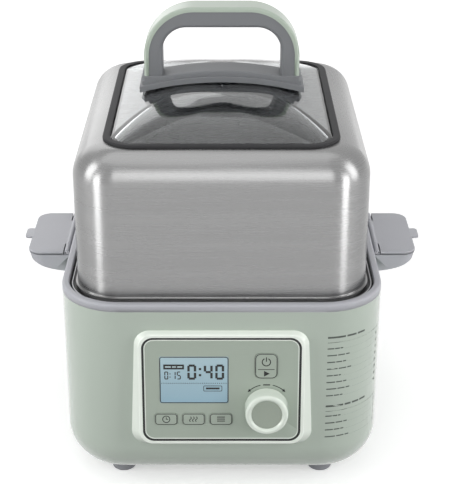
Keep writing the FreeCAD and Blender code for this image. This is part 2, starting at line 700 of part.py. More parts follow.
def build_flap(name, side):
    body = side_body(name, side)
    x, top, thick = cell("hinge_x"), cell("flap_top"), cell("flap_thick")
    out = cell("flap_out")
    plate = new_sketch(body, "XY_Plane", top - thick)
    half = cell("flap_half")
    draw_profile(plate, [(x + 3.0, -half), (out, -half), (out, half), (x + 3.0, half)])
    pad(body, plate, thick)

    def outer_corner(edge):
        box = edge.BoundBox
        return box.XMin > SIZES["flap_out"] - 1 and box.XLength < 0.1 and box.YLength < 0.1
    round_edges(body, cell("flap_corner"), outer_corner)

    def top_rim(edge):
        return at_level(edge, SIZES["flap_top"]) and middle_of(edge).x > SIZES["hinge_x"] + 4
    round_edges(body, 0.7, top_rim)
    tab = new_sketch(body, "XY_Plane", top - thick + 0.3, out + 1.6, 0)
    draw_rounded(tab, 9.6, 18, 3)
    pad(body, tab, thick - 0.7)
    web = new_sketch(body, "XY_Plane", top - thick, x + 2.0, 0)
    draw_rounded(web, 5.0, 2 * cell("barrel_half"), 0.4)
    pad(body, web, thick)
    cylinder_along(body, cell("knuckle"), -cell("barrel_half"), cell("barrel_half"))
    # raised rib under the flap that keeps it centred in the cup
    rib = new_sketch(body, "XY_Plane", top - thick - 1.2, x + 16.5, 0)
    draw_rounded(rib, 24.0, 70.0, 7.0)
    draw_rounded(rib, 21.0, 67.0, 5.5)
    pad(body, rib, 1.4)
    bore_along(body, cell("pin_radius") + 0.06)


def build_hinge_pin(name, side):
    body = side_body(name, side)
    cylinder_along(body, cell("pin_radius"), -42.0, 42.0)


# Hood

def build_hood():
    body = new_body("hood_shell")
    inset, sheet, top = cell("hood_inset"), cell("hood_sheet"), cell("hood_top")
    foot = cell("hood_foot")
    block(body, *rim(inset), foot, top)
    round_edges(body, cell("hood_round"), rim_edges(SIZES["hood_top"], SIZES["hood_inset"]))
    hollow_out(body, sheet, foot, from_below=True)
    block(body, *rim(inset), foot, foot + sheet)
    block(body, *rim(cell("flange_inset")), cell("flange_bottom"), cell("flange_bottom") + sheet)
    hollow(body, *rim(inset + sheet), foot + sheet, cell("flange_bottom") + 4)
    block(body, *rim(cell("hood_skirt")), cell("skirt_tip"), foot)
    hollow(body, *rim(cell("hood_skirt") + sheet), cell("skirt_tip") - 1, foot + sheet + 1)
    hollow(body, cell("gasket_width") - 7, cell("gasket_depth") - 7, cell("gasket_corner") - 3.5,
           top - 4, top + 1)


def build_gasket():
    body = new_body("glass_gasket")
    width, depth, corner = cell("gasket_width"), cell("gasket_depth"), cell("gasket_corner")
    band, low, high = cell("gasket_band"), cell("gasket_bottom"), cell("gasket_top")
    block(body, width, depth, corner, low, high)
    round_edges(body, 1.0, lambda edge: at_level(edge, SIZES["gasket_top"]))
    hollow(body, width - 2 * band, depth - 2 * band, corner - band, low - 1, high + 1)
    edge_low = cell("glass_edge") - cell("glass_thick") - 0.1
    hollow(body, width - 2 * band + 3, depth - 2 * band + 3, corner - band + 1.5, edge_low,
           cell("glass_edge") + 0.1)
    groove = new_sketch(body, "XY_Plane", cell("hood_top") - cell("hood_sheet") - 0.05)
    draw_rounded(groove, width + 2, depth + 2, corner + 1)
    draw_rounded(groove, width - 7.4, depth - 7.4, corner - 3.7)
    pocket(body, groove, cell("hood_sheet") + 0.1, reverse=True)
    lower = new_sketch(body, "XY_Plane", low - 1)
    draw_rounded(lower, width + 2, depth + 2, corner + 1)
    draw_rounded(lower, width - 4.4, depth - 4.4, corner - 2.2)
    pocket(body, lower, cell("hood_top") - cell("hood_sheet") - low + 1, reverse=True)


def dome_sections(body, edge, inset, rise):
    """Rounded rectangles that shrink as they climb, so the glass is flat in the middle and steep at its rim."""
    width = cell("gasket_width") - 2 * cell("gasket_band") + 2.6 - 2 * as_size(inset)
    depth = cell("gasket_depth") - 2 * cell("gasket_band") + 2.6 - 2 * as_size(inset)
    corner = cell("gasket_corner") - cell("gasket_band") + 1.3 - inset
    sections = []
    for share in (1.0, 0.93, 0.8, 0.6, 0.3):
        climb = 1 - share ** 2.6
        drawn_in = (1 - share) * width.value / 2
        sketch = new_sketch(body, "XY_Plane", as_size(edge) + rise * climb)
        draw_rounded(sketch, width - 2 * drawn_in, depth - 2 * drawn_in, corner * (0.45 + 0.55 * share))
        sections.append(sketch)
    return sections


def build_glass():
    body = new_body("hood_glass")
    edge, thick, rise = cell("glass_edge"), cell("glass_thick"), cell("glass_rise")
    width = cell("gasket_width") - 2 * cell("gasket_band") + 2.6
    depth = cell("gasket_depth") - 2 * cell("gasket_band") + 2.6
    block(body, width, depth, cell("gasket_corner") - cell("gasket_band") + 1.3, edge - thick, edge)
    loft(body, dome_sections(body, edge, 1.6, rise))
    loft(body, dome_sections(body, edge - thick, 6.0, rise - 0.4), cut=True)
    bores(body, 4.0, edge - thick, edge + rise + 2, [(cell("screw_x"), 0), (-cell("screw_x"), 0)])


def build_handle_base():
    body = new_body("handle_base")
    half, low, arc = cell("bar_half"), cell("bar_low"), cell("bar_arc")
    flange = new_sketch(body, "XZ_Plane")
    step, tall = cell("bar_step"), cell("bar_tall")
    draw_profile(flange, [(half, low, ), (half, low + step, arc), (-half, low + step), (-half, low, -arc)])
    pad(body, flange, cell("bar_deep"), both=True)
    upper = new_sketch(body, "XZ_Plane")
    inner = half - 2.4
    draw_profile(upper, [(inner, low + 1.5), (inner, low + tall, arc), (-inner, low + tall),
                         (-inner, low + 1.5, -arc)])
    pad(body, upper, cell("bar_top_deep"), both=True)
    middle = (cell("grip_half") + cell("grip_inner")) * 0.5
    span = cell("grip_half") - cell("grip_inner") + 4.4
    for side in (1, -1):
        block(body, span, cell("grip_deep") + 3.0, 3.0, low + 5, cell("grip_bottom"), side * middle, 0)
    bores(body, 2.2, low - 4, cell("grip_bottom") + 4, [(cell("screw_x"), 0), (-cell("screw_x"), 0)])


def arch(sketch, half, top, corner, inner_half, inner_top, inner_corner, low):
    """An upside-down U between two arches."""
    draw_profile(sketch, [
        (half, low), (half, top - corner, corner), (half - corner, top), (-half + corner, top, corner),
        (-half, top - corner), (-half, low), (-inner_half, low),
        (-inner_half, inner_top - inner_corner, -inner_corner), (-inner_half + inner_corner, inner_top),
        (inner_half - inner_corner, inner_top, -inner_corner), (inner_half, inner_top - inner_corner),
        (inner_half, low)])


def build_handle():
    half, top, corner = cell("grip_half"), cell("grip_top"), cell("grip_corner")
    skin, low = cell("grip_skin"), cell("grip_bottom")
    core = new_body("handle_core")
    sketch = new_sketch(core, "XZ_Plane")
    arch(sketch, half - skin, top - skin, corner - skin, cell("grip_inner"), cell("grip_under"),
         cell("grip_inner_corner"), low)
    pad(core, sketch, cell("grip_deep"), both=True)

    def inner_side(edge):
        box = edge.BoundBox
        flat = box.YLength < 0.1 and abs(abs(middle_of(edge).y) - SIZES["grip_deep"] / 2) < 0.1
        inside = abs(middle_of(edge).x) < SIZES["grip_inner"] + 0.1
        return flat and inside and SIZES["grip_bottom"] + 1 < middle_of(edge).z < SIZES["grip_under"] + 1
    round_edges(core, 3.0, inner_side)
    bores(core, 1.8, low - 1, low + 22, [(cell("screw_x"), 0), (-cell("screw_x"), 0)])
    shell = new_body("handle_shell")
    sketch = new_sketch(shell, "XZ_Plane")
    arch(sketch, half, top, corner, half - skin, top - skin, corner - skin, low)
    pad(shell, sketch, cell("grip_deep") + 1.0, both=True)

    def outer_side(edge):
        box = edge.BoundBox
        flat = box.YLength < 0.1 and abs(abs(middle_of(edge).y) - SIZES["grip_deep"] / 2 - 0.5) < 0.1
        spot = middle_of(edge)
        outer = abs(spot.x) > SIZES["grip_half"] - 0.1 or spot.z > SIZES["grip_top"] - 0.1
        bend = abs(spot.x) > 45 and spot.z > 350 and box.XLength > 30
        outer_bend = bend and math.hypot(abs(spot.x) - 23, spot.z - 333) > 40
        return flat and (outer or outer_bend) and spot.z > SIZES["grip_bottom"] + 1
    round_edges(shell, 2.0, outer_side)


# Tray, heater and electronics

def build_tray():
    body = new_body("steam_tray")
    inset, lip = cell("tray_inset"), cell("tray_lip")
    low = cell("step_top") + 0.3
    block(body, *rim(inset), low, low + 6)
    hollow(body, *rim(inset + 1.2), low + 1.2, low + 7)
    hollow(body, *rim(inset + lip), low, low + 1.2 + 0.1)
    well = low - 8
    block(body, *rim(inset + lip), well, low + 1.2)
    hollow(body, *rim(inset + lip + 1.2), well + 1.2, low + 2)
    hole = new_sketch(body, "XY_Plane", well - 1, -72.0, -96.0)
    draw_circle(hole, 4.0)
    first = pocket(body, hole, 4, reverse=True)
    across = body.newObject("PartDesign::LinearPattern", "HolesAcross")
    across.Direction = (hole, ["H_Axis"])
    across.Length = 144
    across.Occurrences = 5
    along = body.newObject("PartDesign::LinearPattern", "HolesAlong")
    along.Direction = (hole, ["V_Axis"])
    along.Length = 192
    along.Occurrences = 7
    grid = body.newObject("PartDesign::MultiTransform", "HoleGrid")
    grid.Originals = [first]
    grid.Transformations = [across, along]
    body.Tip = grid
    DOC.recompute()


def build_heater():
    top = cell("tank_bottom")
    plate_low = top - cell("plate_thick")
    plate = new_body("heater_plate")
    studs(plate, cell("plate_radius"), plate_low, top, [(0, 0)])
    element = new_body("heating_element")
    path = new_sketch(element, "XY_Plane", plate_low - 3.5)
    ring = Part.Circle(Vector(0, 0, 0), Vector(0, 0, 1), 52)
    path.addGeometry(Part.ArcOfCircle(ring, math.radians(-75), math.radians(255)), False)
    path.addConstraint(Sketcher.Constraint("Coincident", 0, 3, -1, 1))
    dimension(path, "Radius", 0, size=52.0)
    DOC.recompute()
    start = path.Geometry[0].StartPoint
    section = new_sketch(element, "XY_Plane", plate_low - 3.5, start.x, start.y)
    section.AttachmentOffset = FreeCAD.Placement(
        section.AttachmentOffset.Base, FreeCAD.Rotation(Vector(0, 0, 1), -75) *
        FreeCAD.Rotation(Vector(1, 0, 0), 90))
    draw_circle(section, 3.4)
    pipe = element.newObject("PartDesign::AdditivePipe", "ElementTube")
    pipe.Profile = section
    pipe.Spine = (path, ["Edge1"])
    DOC.recompute()
    bracket = new_body("heater_bracket")
    bracket_low = plate_low - 9
    block(bracket, 166, 30, 6, bracket_low, bracket_low + 2)
    bores(bracket, 9.0, bracket_low - 1, bracket_low + 3, [(0, 0)])
    bores(bracket, 2.2, bracket_low - 1, bracket_low + 3, [(77, 0), (-77, 0)])
    screws = new_body("bracket_screws")
    places = [(77, 0), (-77, 0)]
    studs(screws, 4.0, bracket_low - 2.4, bracket_low, places)
    studs(screws, 2.0, bracket_low, top, places)
    thermostat = new_body("thermostat")
    studs(thermostat, 8.0, plate_low - 10, plate_low, [(0, 0)])
    studs(thermostat, 5.0, plate_low - 14, plate_low - 10, [(0, 0)])


def build_power_board():
    low = cell("base_bottom") + 9
    body = new_body("power_board")
    block(body, 104, 74, 3, low, low + 1.6)
    for x, y, wide, deep, tall in ((-30, 12, 20, 16, 16), (2, -14, 26, 20, 18), (34, 14, 16, 26, 10)):
        block(body, wide, deep, 1, low + 1.6, low + 1.6 + tall, x, y)
    studs(body, 6.0, low + 1.6, low + 16, [(-34, -20), (30, -20)])
    bores(body, 1.7, low - 1, low + 2, four_corners(as_size(45.0), as_size(30.0)))
    screws = new_body("board_screws")
    places = four_corners(as_size(45.0), as_size(30.0))
    studs(screws, 2.8, low + 1.6, low + 3.6, places)
    studs(screws, 1.3, low - 4.5, low + 1.6, places)


def build_inlet():
    deep = cell("base_depth") * 0.5
    body = new_body("power_inlet")
    wide, tall = cell("inlet_width"), cell("inlet_tall")
    x, z = cell("inlet_x"), cell("inlet_high")
    shell = new_sketch(body, "XZ_Plane", -deep, x, z)
    draw_rounded(shell, wide, tall, 2)
    pad(body, shell, 20)
    flange = new_sketch(body, "XZ_Plane", -deep - 1.8, x, z)
    draw_rounded(flange, wide + 6, tall + 6, 3)
    pad(body, flange, 1.8)
    mouth = new_sketch(body, "XZ_Plane", -deep - 3, x, z)
    draw_rounded(mouth, wide - 3.8, tall - 4.4, 1.5)
    pocket(body, mouth, 19, reverse=True)
    pins = new_body("inlet_pins")
    for shift, lift in ((-7, -2), (0, 2), (7, -2)):
        pin = new_sketch(pins, "XZ_Plane", -deep + 4, x + shift, z + lift)
        draw_rounded(pin, 2, 4, 0.5)
        pad(pins, pin, 10.2)


def screw_group(name, places, low, head_radius, head, shank_radius, shank, down=False):
    """Pan-head screws with their heads at the low end, or at the top where they point down."""
    body = new_body(name)
    if down:
        studs(body, shank_radius, as_size(low) - shank, low, places)
        studs(body, head_radius, low, as_size(low) + head, places)
        return
    studs(body, head_radius, low, as_size(low) + head, places)
    studs(body, shank_radius, as_size(low) + head, as_size(low) + head + shank, places)


def build_screws():
    low = cell("base_bottom")
    screw_group("bottom_screws", four_corners(cell("cover_screw_x"), cell("cover_screw_y")),
                low - 1.8, 3.0, 1.8, 1.3, 10)
    screw_group("foot_screws", four_corners(cell("foot_x"), cell("foot_y")), 2.6, 3.2, 2.4, 1.6, 9.5)
    handle = [(cell("screw_x"), 0), (-cell("screw_x"), 0)]
    seat, above = 295.2, 304.9
    washers = new_body("handle_washers")
    studs(washers, 7.0, seat, seat + 1.5, handle)
    studs(washers, 5.5, above, above + 1.2, handle)
    bores(washers, 2.1, seat - 1, above + 3, handle)
    screw_group("handle_screws", handle, seat - 3.0, 4.5, 3.0, 1.75, 42)


def wire(points, bend, radius):
    """A round wire through straight runs joined by tangent arcs."""
    edges = []
    start = points[0]
    for index in range(1, len(points) - 1):
        corner, following = points[index], points[index + 1]
        enter = (corner - points[index - 1]).normalize()
        leave = (following - corner).normalize()
        half_turn = enter.getAngle(leave) / 2
        reach = bend * math.tan(half_turn)
        first, last = corner - enter * reach, corner + leave * reach
        towards = (leave - enter).normalize()
        middle = corner + towards * (bend / math.cos(half_turn) - bend)
        edges.append(Part.LineSegment(start, first).toShape())
        edges.append(Part.Arc(first, middle, last).toShape())
        start = last
    edges.append(Part.LineSegment(start, points[-1]).toShape())
    path = Part.Wire(edges)
    direction = (points[1] - points[0]).normalize()
    section = Part.Wire([Part.Circle(points[0], direction, radius).toShape()])
    return path.makePipeShell([section], True, False)


def build_wiring():
    """Mains leads from the inlet to the board and on to the element, held inside the base."""
    shift = SIZES["footprint_shift"]
    x, high = SIZES["inlet_x"], SIZES["inlet_high"]
    rear = SIZES["base_depth"] / 2 - 20
    runs = []
    for offset in (-7.0, 7.0):
        runs.append([Vector(x + offset, rear, high), Vector(x + offset, 105, high),
                     Vector(x + offset * 0.6 - 20, 105, 40), Vector(x + offset * 0.6 - 24, 50, 36),
                     Vector(x + offset * 0.6 - 24, 20 + offset, 30)])
    for offset in (-8.0, 8.0):
        runs.append([Vector(30 + offset, 6, 28), Vector(30 + offset, 6, 50),
                     Vector(14 + offset * 0.7, -34, 60), Vector(13.4 * offset / 8, -50.2, 66),
                     Vector(13.4 * offset / 8, -50.2, 76.5)])
    solids = [wire(run, 6.0, 1.4) for run in runs]
    add_feature("wiring_harness", Part.makeCompound(solids), shift)
    tilt = math.radians(SIZES["panel_tilt"])
    depth = SIZES["board_depth"] + SIZES["board_thick"] + 4.3
    y = -SIZES["panel_front"] + depth * math.cos(tilt)
    route = [Vector(22, y + 1, 98), Vector(22, y + 5, 92), Vector(22, -110, 50), Vector(22, -30.5, 37)]
    lift = Vector(0, 0.4, 0.5)
    outline = route + [point + lift for point in reversed(route)]
    face = Part.Face(Part.makePolygon(outline + [route[0]]))
    add_feature("ribbon_cable", face.extrude(Vector(16, 0, 0)), shift)


def add_feature(name, shape, shift):
    feature = DOC.addObject("Part::Feature", name)
    feature.Label = name
    feature.Shape = shape
    feature.Placement = FreeCAD.Placement(Vector(0, shift, 0), FreeCAD.Rotation())
    PARTS.append(feature)


def build_all():
    build_housing()
    build_collar()
    build_seal()
    build_tank()
    for depth_name, side_y in (("front", -1), ("rear", 1)):
        for width_name, side_x in (("left", -1), ("right", 1)):
            build_foot(f"foot_{depth_name}_{width_name}", side_x, side_y)
    build_bottom_cover()
    build_bezel()
    build_panel_gasket()
    build_panel()
    for name in KEYS:
        build_key(name)
    build_knob()
    build_encoder()
    build_display()
    build_control_board()
    for side_name, side in (("left", -1), ("right", 1)):
        build_cup(f"{side_name}_fill_spout", side)
        build_flap(f"{side_name}_fill_flap", side)
        build_hinge_pin(f"{side_name}_hinge_pin", side)
    build_hood()
    build_gasket()
    build_glass()
    build_handle_base()
    build_handle()
    build_tray()
    build_heater()
    build_power_board()
    build_inlet()
    build_screws()
    build_wiring()


def check_and_write():
    """Stops at the first failed feature or solid, then writes every sub-part."""
    DOC.recompute()
    for item in DOC.Objects:
        if {"Invalid", "Error"} & set(item.State):
            raise ValueError(f"{item.Name} is in state {item.State}")
    for item in PARTS:
        shape = item.Shape
        if shape.isNull() or not shape.isValid() or not shape.Solids:
            raise ValueError(f"{item.Label} has no valid solid")
    os.makedirs("parts", exist_ok=True)
    for item in PARTS:
        item.Shape.exportStep(os.path.join("parts", f"{item.Label}.step"))
        print(f"{item.Label}: {len(item.Shape.Solids)} solids, {len(item.Shape.Faces)} faces")


write_sheet()
build_all()
check_and_write()
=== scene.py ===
"""The looks of an electric food steamer: its shapes, finishes, lamps and camera, in metres."""
from __future__ import annotations

import json
import logging
import math
from dataclasses import dataclass, field
from enum import Enum
from typing import Callable, Iterable, Sequence

import bmesh
import bpy
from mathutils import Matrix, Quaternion, Vector

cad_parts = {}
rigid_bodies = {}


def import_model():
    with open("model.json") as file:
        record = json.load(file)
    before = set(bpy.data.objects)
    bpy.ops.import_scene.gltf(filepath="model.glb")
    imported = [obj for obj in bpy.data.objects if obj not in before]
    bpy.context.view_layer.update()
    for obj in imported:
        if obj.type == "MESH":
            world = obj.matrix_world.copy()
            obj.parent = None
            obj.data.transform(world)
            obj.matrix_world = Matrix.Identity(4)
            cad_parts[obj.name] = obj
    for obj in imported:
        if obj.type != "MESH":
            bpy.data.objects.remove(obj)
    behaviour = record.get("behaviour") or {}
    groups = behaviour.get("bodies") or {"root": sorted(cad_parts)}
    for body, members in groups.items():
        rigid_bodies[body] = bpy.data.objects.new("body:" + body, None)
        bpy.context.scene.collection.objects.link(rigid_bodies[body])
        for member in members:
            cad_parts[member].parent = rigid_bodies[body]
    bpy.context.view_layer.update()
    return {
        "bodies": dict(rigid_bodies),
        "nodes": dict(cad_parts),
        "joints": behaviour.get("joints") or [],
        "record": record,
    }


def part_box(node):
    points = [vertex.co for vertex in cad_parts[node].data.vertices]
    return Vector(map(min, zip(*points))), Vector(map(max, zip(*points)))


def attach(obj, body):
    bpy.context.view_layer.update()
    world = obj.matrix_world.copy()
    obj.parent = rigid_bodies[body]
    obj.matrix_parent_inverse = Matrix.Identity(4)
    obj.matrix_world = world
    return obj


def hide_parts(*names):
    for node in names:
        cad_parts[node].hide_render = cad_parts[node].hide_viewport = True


LOG = logging.getLogger("steamer")
Point = tuple[float, float]
Colour = tuple[float, float, float]
Strip = tuple[float, float, float, float]
Outline = tuple[float, float, float, float, float, float]
Figures = tuple[str, float, float, float, float, float]

# A millimetre in metres. The sizes after it are the CAD model's own in millimetres, and the angles are in radians.
MM = 0.001
BASE_Y = 12.4
BASE_HALF_X = 131.0
BASE_HALF_Y = 152.0
BASE_CORNER = 50.0
PANEL_Y = -160.6
PANEL_Z = 99.7
PANEL_LEAN = math.radians(4.0)
KNOB_PLACE = (36.2, -15.8)
GUIDE_START = math.radians(-85.5)
CROSS_DEPTH = 0.9
CROSS_REACH = 2.2


def paint(red: int, green: int, blue: int) -> Colour:
    """A colour as a screen shows it, turned into the shader's linear values.

    Args:
        red: Red from 0 to 255.
        green: Green from 0 to 255.
        blue: Blue from 0 to 255.

    Returns:
        The linear colour.
    """
    shares = (red / 255, green / 255, blue / 255)
    return tuple(s / 12.92 if s < 0.04045 else ((s + 0.055) / 1.055) ** 2.4 for s in shares)


def on_panel(x: float, y: float, out: float) -> Vector:
    """A place in the tilted panel's own flat frame.

    Args:
        x: To the right of its middle, in millimetres.
        y: Up along it.
        out: Out of it, towards the cook.

    Returns:
        The place in metres.
    """
    climb, run = math.sin(PANEL_LEAN), math.cos(PANEL_LEAN)
    return Vector((x, PANEL_Y + BASE_Y + y * climb - out * run, PANEL_Z + y * run + out * climb)) * MM


def on_corner(along: float, high: float, out: float) -> Vector:
    """A place on the rounded right front corner of the base.

    Args:
        along: The way round the corner from the print's left edge, in millimetres.
        high: The height above the table.
        out: Out of the surface.

    Returns:
        The place in metres.
    """
    turn = GUIDE_START + along / BASE_CORNER
    reach = BASE_CORNER + out
    return Vector((BASE_HALF_X - BASE_CORNER + reach * math.cos(turn),
                   BASE_CORNER - BASE_HALF_Y + BASE_Y + reach * math.sin(turn), high)) * MM


def round_point(middle: Point, radius: float, angle: float) -> Point:
    """A point on a circle.

    Args:
        middle: The circle's middle.
        radius: Its radius.
        angle: The angle in degrees, from the right and against the clock.

    Returns:
        The point.
    """
    turn = math.radians(angle)
    return middle[0] + radius * math.cos(turn), middle[1] + radius * math.sin(turn)


class Wiring:
    """Makes and joins the nodes of one tree."""

    def __init__(self, tree: bpy.types.NodeTree) -> None:
        """Takes an empty tree.

        Args:
            tree: The tree that gets the nodes.
        """
        self.tree = tree
        tree.nodes.clear()

    def add(self, kind: str, settings: dict | None = None, **values: object) -> bpy.types.Node:
        """Adds a node.

        Args:
            kind: The node's type.
            settings: Its own settings by attribute name.
            **values: What its inputs get, a socket or a constant, an underscore standing for a space.

        Returns:
            The new node.
        """
        node = self.tree.nodes.new(kind)
        for name, value in (settings or {}).items():
            setattr(node, name, value)
        for name, value in values.items():
            socket = node.inputs[name.replace("_", " ")]
            if isinstance(value, bpy.types.NodeSocket):
                self.tree.links.new(value, socket)
            else:
                socket.default_value = value
        return node

    def join(self, source: bpy.types.NodeSocket, target: bpy.types.NodeSocket) -> None:
        """Links two sockets.

        Args:
            source: The output.
            target: The input.
        """
        self.tree.links.new(source, target)


def maths(wiring: Wiring, operation: str, first: object, second: object = 0.0) -> bpy.types.NodeSocket:
    """Adds one sum.

    Args:
        wiring: The tree's wiring.
        operation: The operation's name.
        first: Its first value or socket.
        second: Its second value or socket.

    Returns:
        The result's socket.
    """
    node = wiring.add("ShaderNodeMath", {"operation": operation})
    for index, value in enumerate((first, second)):
        if isinstance(value, bpy.types.NodeSocket):
            wiring.join(value, node.inputs[index])
        else:
            node.inputs[index].default_value = value
    return node.outputs[0]


def showing(wiring: Wiring) -> bpy.types.NodeSocket:
    """Tells the rays that show the background: the camera's, and those off metal and through glass.

    Args:
        wiring: The tree's wiring.

    Returns:
        The socket that is 1 for these rays and 0 for the rest.
    """
    light = wiring.add("ShaderNodeLightPath")
    return maths(wiring, "MAXIMUM", light.outputs["Is Camera Ray"],
                 maths(wiring, "MAXIMUM", light.outputs["Is Glossy Ray"], light.outputs["Is Transmission Ray"]))


class Grain(Enum):
    """How a surface is worked, as the stretch of its grain along X, Y and Z."""

    MOULDED = (1.0, 1.0, 1.0)
    BRUSHED_ROUND = (0.02, 0.02, 1.0)
    BRUSHED_ALONG_X = (0.02, 1.0, 1.0)


class SurfaceGroups:
    """The node groups that several finishes share."""

    def __init__(self) -> None:
        """Builds the groups once."""
        self.grain = self._grain()
        self.smudge = self._smudge()

    @staticmethod
    def _sockets(name: str, inputs: Sequence[tuple[str, str, object]],
                 outputs: Sequence[tuple[str, str]]) -> bpy.types.NodeTree:
        """Makes an empty shader group.

        Args:
            name: The group's name.
            inputs: Name, socket kind and default of each input.
            outputs: Name and socket kind of each output.

        Returns:
            The group's tree.
        """
        tree = bpy.data.node_groups.new(name, "ShaderNodeTree")
        for label, kind, value in inputs:
            socket = tree.interface.new_socket(label, in_out="INPUT", socket_type=f"NodeSocket{kind}")
            socket.default_value = value
        for label, kind in outputs:
            tree.interface.new_socket(label, in_out="OUTPUT", socket_type=f"NodeSocket{kind}")
        return tree

    def _grain(self) -> bpy.types.NodeTree:
        """Fine grain that varies the colour, the roughness and the height.

        Returns:
            The group's tree.
        """
        tree = self._sockets(
            "fine_grain",
            [("Vector", "Vector", (0, 0, 0)), ("Color", "Color", (0.5, 0.5, 0.5, 1)), ("Scale", "Float", 500.0),
             ("Variation", "Float", 0.04), ("Roughness", "Float", 0.4), ("Spread", "Float", 0.06)],
            [("Color", "Color"), ("Roughness", "Float"), ("Height", "Float")])
        wiring = Wiring(tree)
        entry = wiring.add("NodeGroupInput")
        leave = wiring.add("NodeGroupOutput")
        fine = wiring.add("ShaderNodeTexNoise", Vector=entry.outputs["Vector"], Scale=entry.outputs["Scale"],
                          Detail=3.0, Roughness=0.6)
        broad = wiring.add("ShaderNodeTexNoise", Vector=entry.outputs["Vector"],
                           Scale=maths(wiring, "MULTIPLY", entry.outputs["Scale"], 0.11), Detail=2.0)
        blend = maths(wiring, "ADD", maths(wiring, "MULTIPLY", fine.outputs[0], 0.6),
                      maths(wiring, "MULTIPLY", broad.outputs[0], 0.4))
        centred = maths(wiring, "SUBTRACT", blend, 0.5)
        tone = maths(wiring, "ADD", maths(wiring, "MULTIPLY", centred, entry.outputs["Variation"]), 1.0)
        tinted = wiring.add("ShaderNodeVectorMath", {"operation": "SCALE"})
        wiring.join(entry.outputs["Color"], tinted.inputs[0])
        wiring.join(tone, tinted.inputs["Scale"])
        rough = maths(wiring, "ADD", maths(wiring, "MULTIPLY", centred, entry.outputs["Spread"]),
                      entry.outputs["Roughness"])
        wiring.join(tinted.outputs[0], leave.inputs["Color"])
        wiring.join(rough, leave.inputs["Roughness"])
        wiring.join(fine.outputs[0], leave.inputs["Height"])
        return tree

    def _smudge(self) -> bpy.types.NodeTree:
        """Faint handling marks that dull a surface here and there.

        Returns:
            The group's tree.
        """
        tree = self._sockets(
            "handling_marks",
            [("Vector", "Vector", (0, 0, 0)), ("Roughness", "Float", 0.3), ("Amount", "Float", 0.05)],
            [("Roughness", "Float")])
        wiring = Wiring(tree)
        entry = wiring.add("NodeGroupInput")
        leave = wiring.add("NodeGroupOutput")
        cloud = wiring.add("ShaderNodeTexNoise", Vector=entry.outputs["Vector"], Scale=14.0, Detail=4.0,
                           Distortion=0.8)
        mask = wiring.add("ShaderNodeMapRange", Value=cloud.outputs[0], From_Min=0.5, From_Max=0.72)
        wiring.join(maths(wiring, "ADD", entry.outputs["Roughness"],
                          maths(wiring, "MULTIPLY", mask.outputs[0], entry.outputs["Amount"])),
                    leave.inputs["Roughness"])
        return tree


@dataclass(frozen=True)
class Finish:
    """One finish of the object and how it is worked.

    Attributes:
        name: The material's name.
        colour: Its linear colour.
        roughness: Its mean roughness.
        metallic: 1 for a metal, 0 for the rest.
        coat: The weight of a clear gloss on top.
        grain: How the surface is worked.
        scale: How fine the grain is.
        variation: How much the grain varies the colour.
        spread: How much the grain varies the roughness.
        bump: How strongly the grain shows in relief.
        smudge: How much handling marks dull it.
        specular: The level of its reflection.
        brushed: How far brushing stretches its highlights.
        coat_roughness: The roughness of the clear gloss.
        relief: The grain's height in metres.
    """

    name: str
    colour: Colour
    roughness: float
    metallic: float = 0.0
    coat: float = 0.0
    grain: Grain = Grain.MOULDED
    scale: float = 900.0
    variation: float = 0.06
    spread: float = 0.08
    bump: float = 0.05
    smudge: float = 0.04
    specular: float = 0.5
    brushed: float = 0.0
    coat_roughness: float = 0.06
    relief: float = 0.0004

    def material(self, groups: SurfaceGroups) -> bpy.types.Material:
        """Builds the finish's material once and returns it afterwards.

        Args:
            groups: The shared node groups.

        Returns:
            The material.
        """
        known = bpy.data.materials.get(self.name)
        if known:
            return known
        made = bpy.data.materials.new(self.name)
        made.use_nodes = True
        wiring = Wiring(made.node_tree)
        leave = wiring.add("ShaderNodeOutputMaterial")
        wiring.join(self._shader(wiring, groups).outputs[0], leave.inputs["Surface"])
        return made

    def _shader(self, wiring: Wiring, groups: SurfaceGroups) -> bpy.types.Node:
        """Wires the shader of this kind of finish.

        Args:
            wiring: The material's wiring.
            groups: The shared node groups.

        Returns:
            The shader node.
        """
        place = wiring.add("ShaderNodeTexCoord")
        turned = wiring.add("ShaderNodeMapping", Vector=place.outputs["Object"], Scale=self.grain.value)
        grain = wiring.add("ShaderNodeGroup", {"node_tree": groups.grain}, Vector=turned.outputs[0],
                           Color=self._tint(wiring, place), Scale=self.scale, Variation=self.variation,
                           Roughness=self.roughness, Spread=self.spread)
        marks = wiring.add("ShaderNodeGroup", {"node_tree": groups.smudge}, Vector=place.outputs["Object"],
                           Roughness=grain.outputs["Roughness"], Amount=self.smudge)
        bump = wiring.add("ShaderNodeBump", Height=grain.outputs["Height"], Strength=self.bump,
                          Distance=self.relief)
        shader = wiring.add("ShaderNodeBsdfPrincipled", Base_Color=grain.outputs["Color"],
                            Roughness=marks.outputs[0], Metallic=self.metallic, Coat_Weight=self.coat,
                            Coat_Roughness=self.coat_roughness, Specular_IOR_Level=self.specular,
                            Normal=bump.outputs[0])
        if self.brushed:
            around = wiring.add("ShaderNodeTangent", {"direction_type": "RADIAL", "axis": "Z"})
            wiring.join(around.outputs[0], shader.inputs["Tangent"])
            shader.inputs["Anisotropic"].default_value = self.brushed
            shader.inputs["Anisotropic Rotation"].default_value = 0.25
        return shader

    def _tint(self, wiring: Wiring, place: bpy.types.Node) -> object:
        """The colour before the grain.

        Args:
            wiring: The material's wiring.
            place: The material's coordinates.

        Returns:
            A constant colour, or the socket of a varying one.
        """
        return (*self.colour, 1.0)


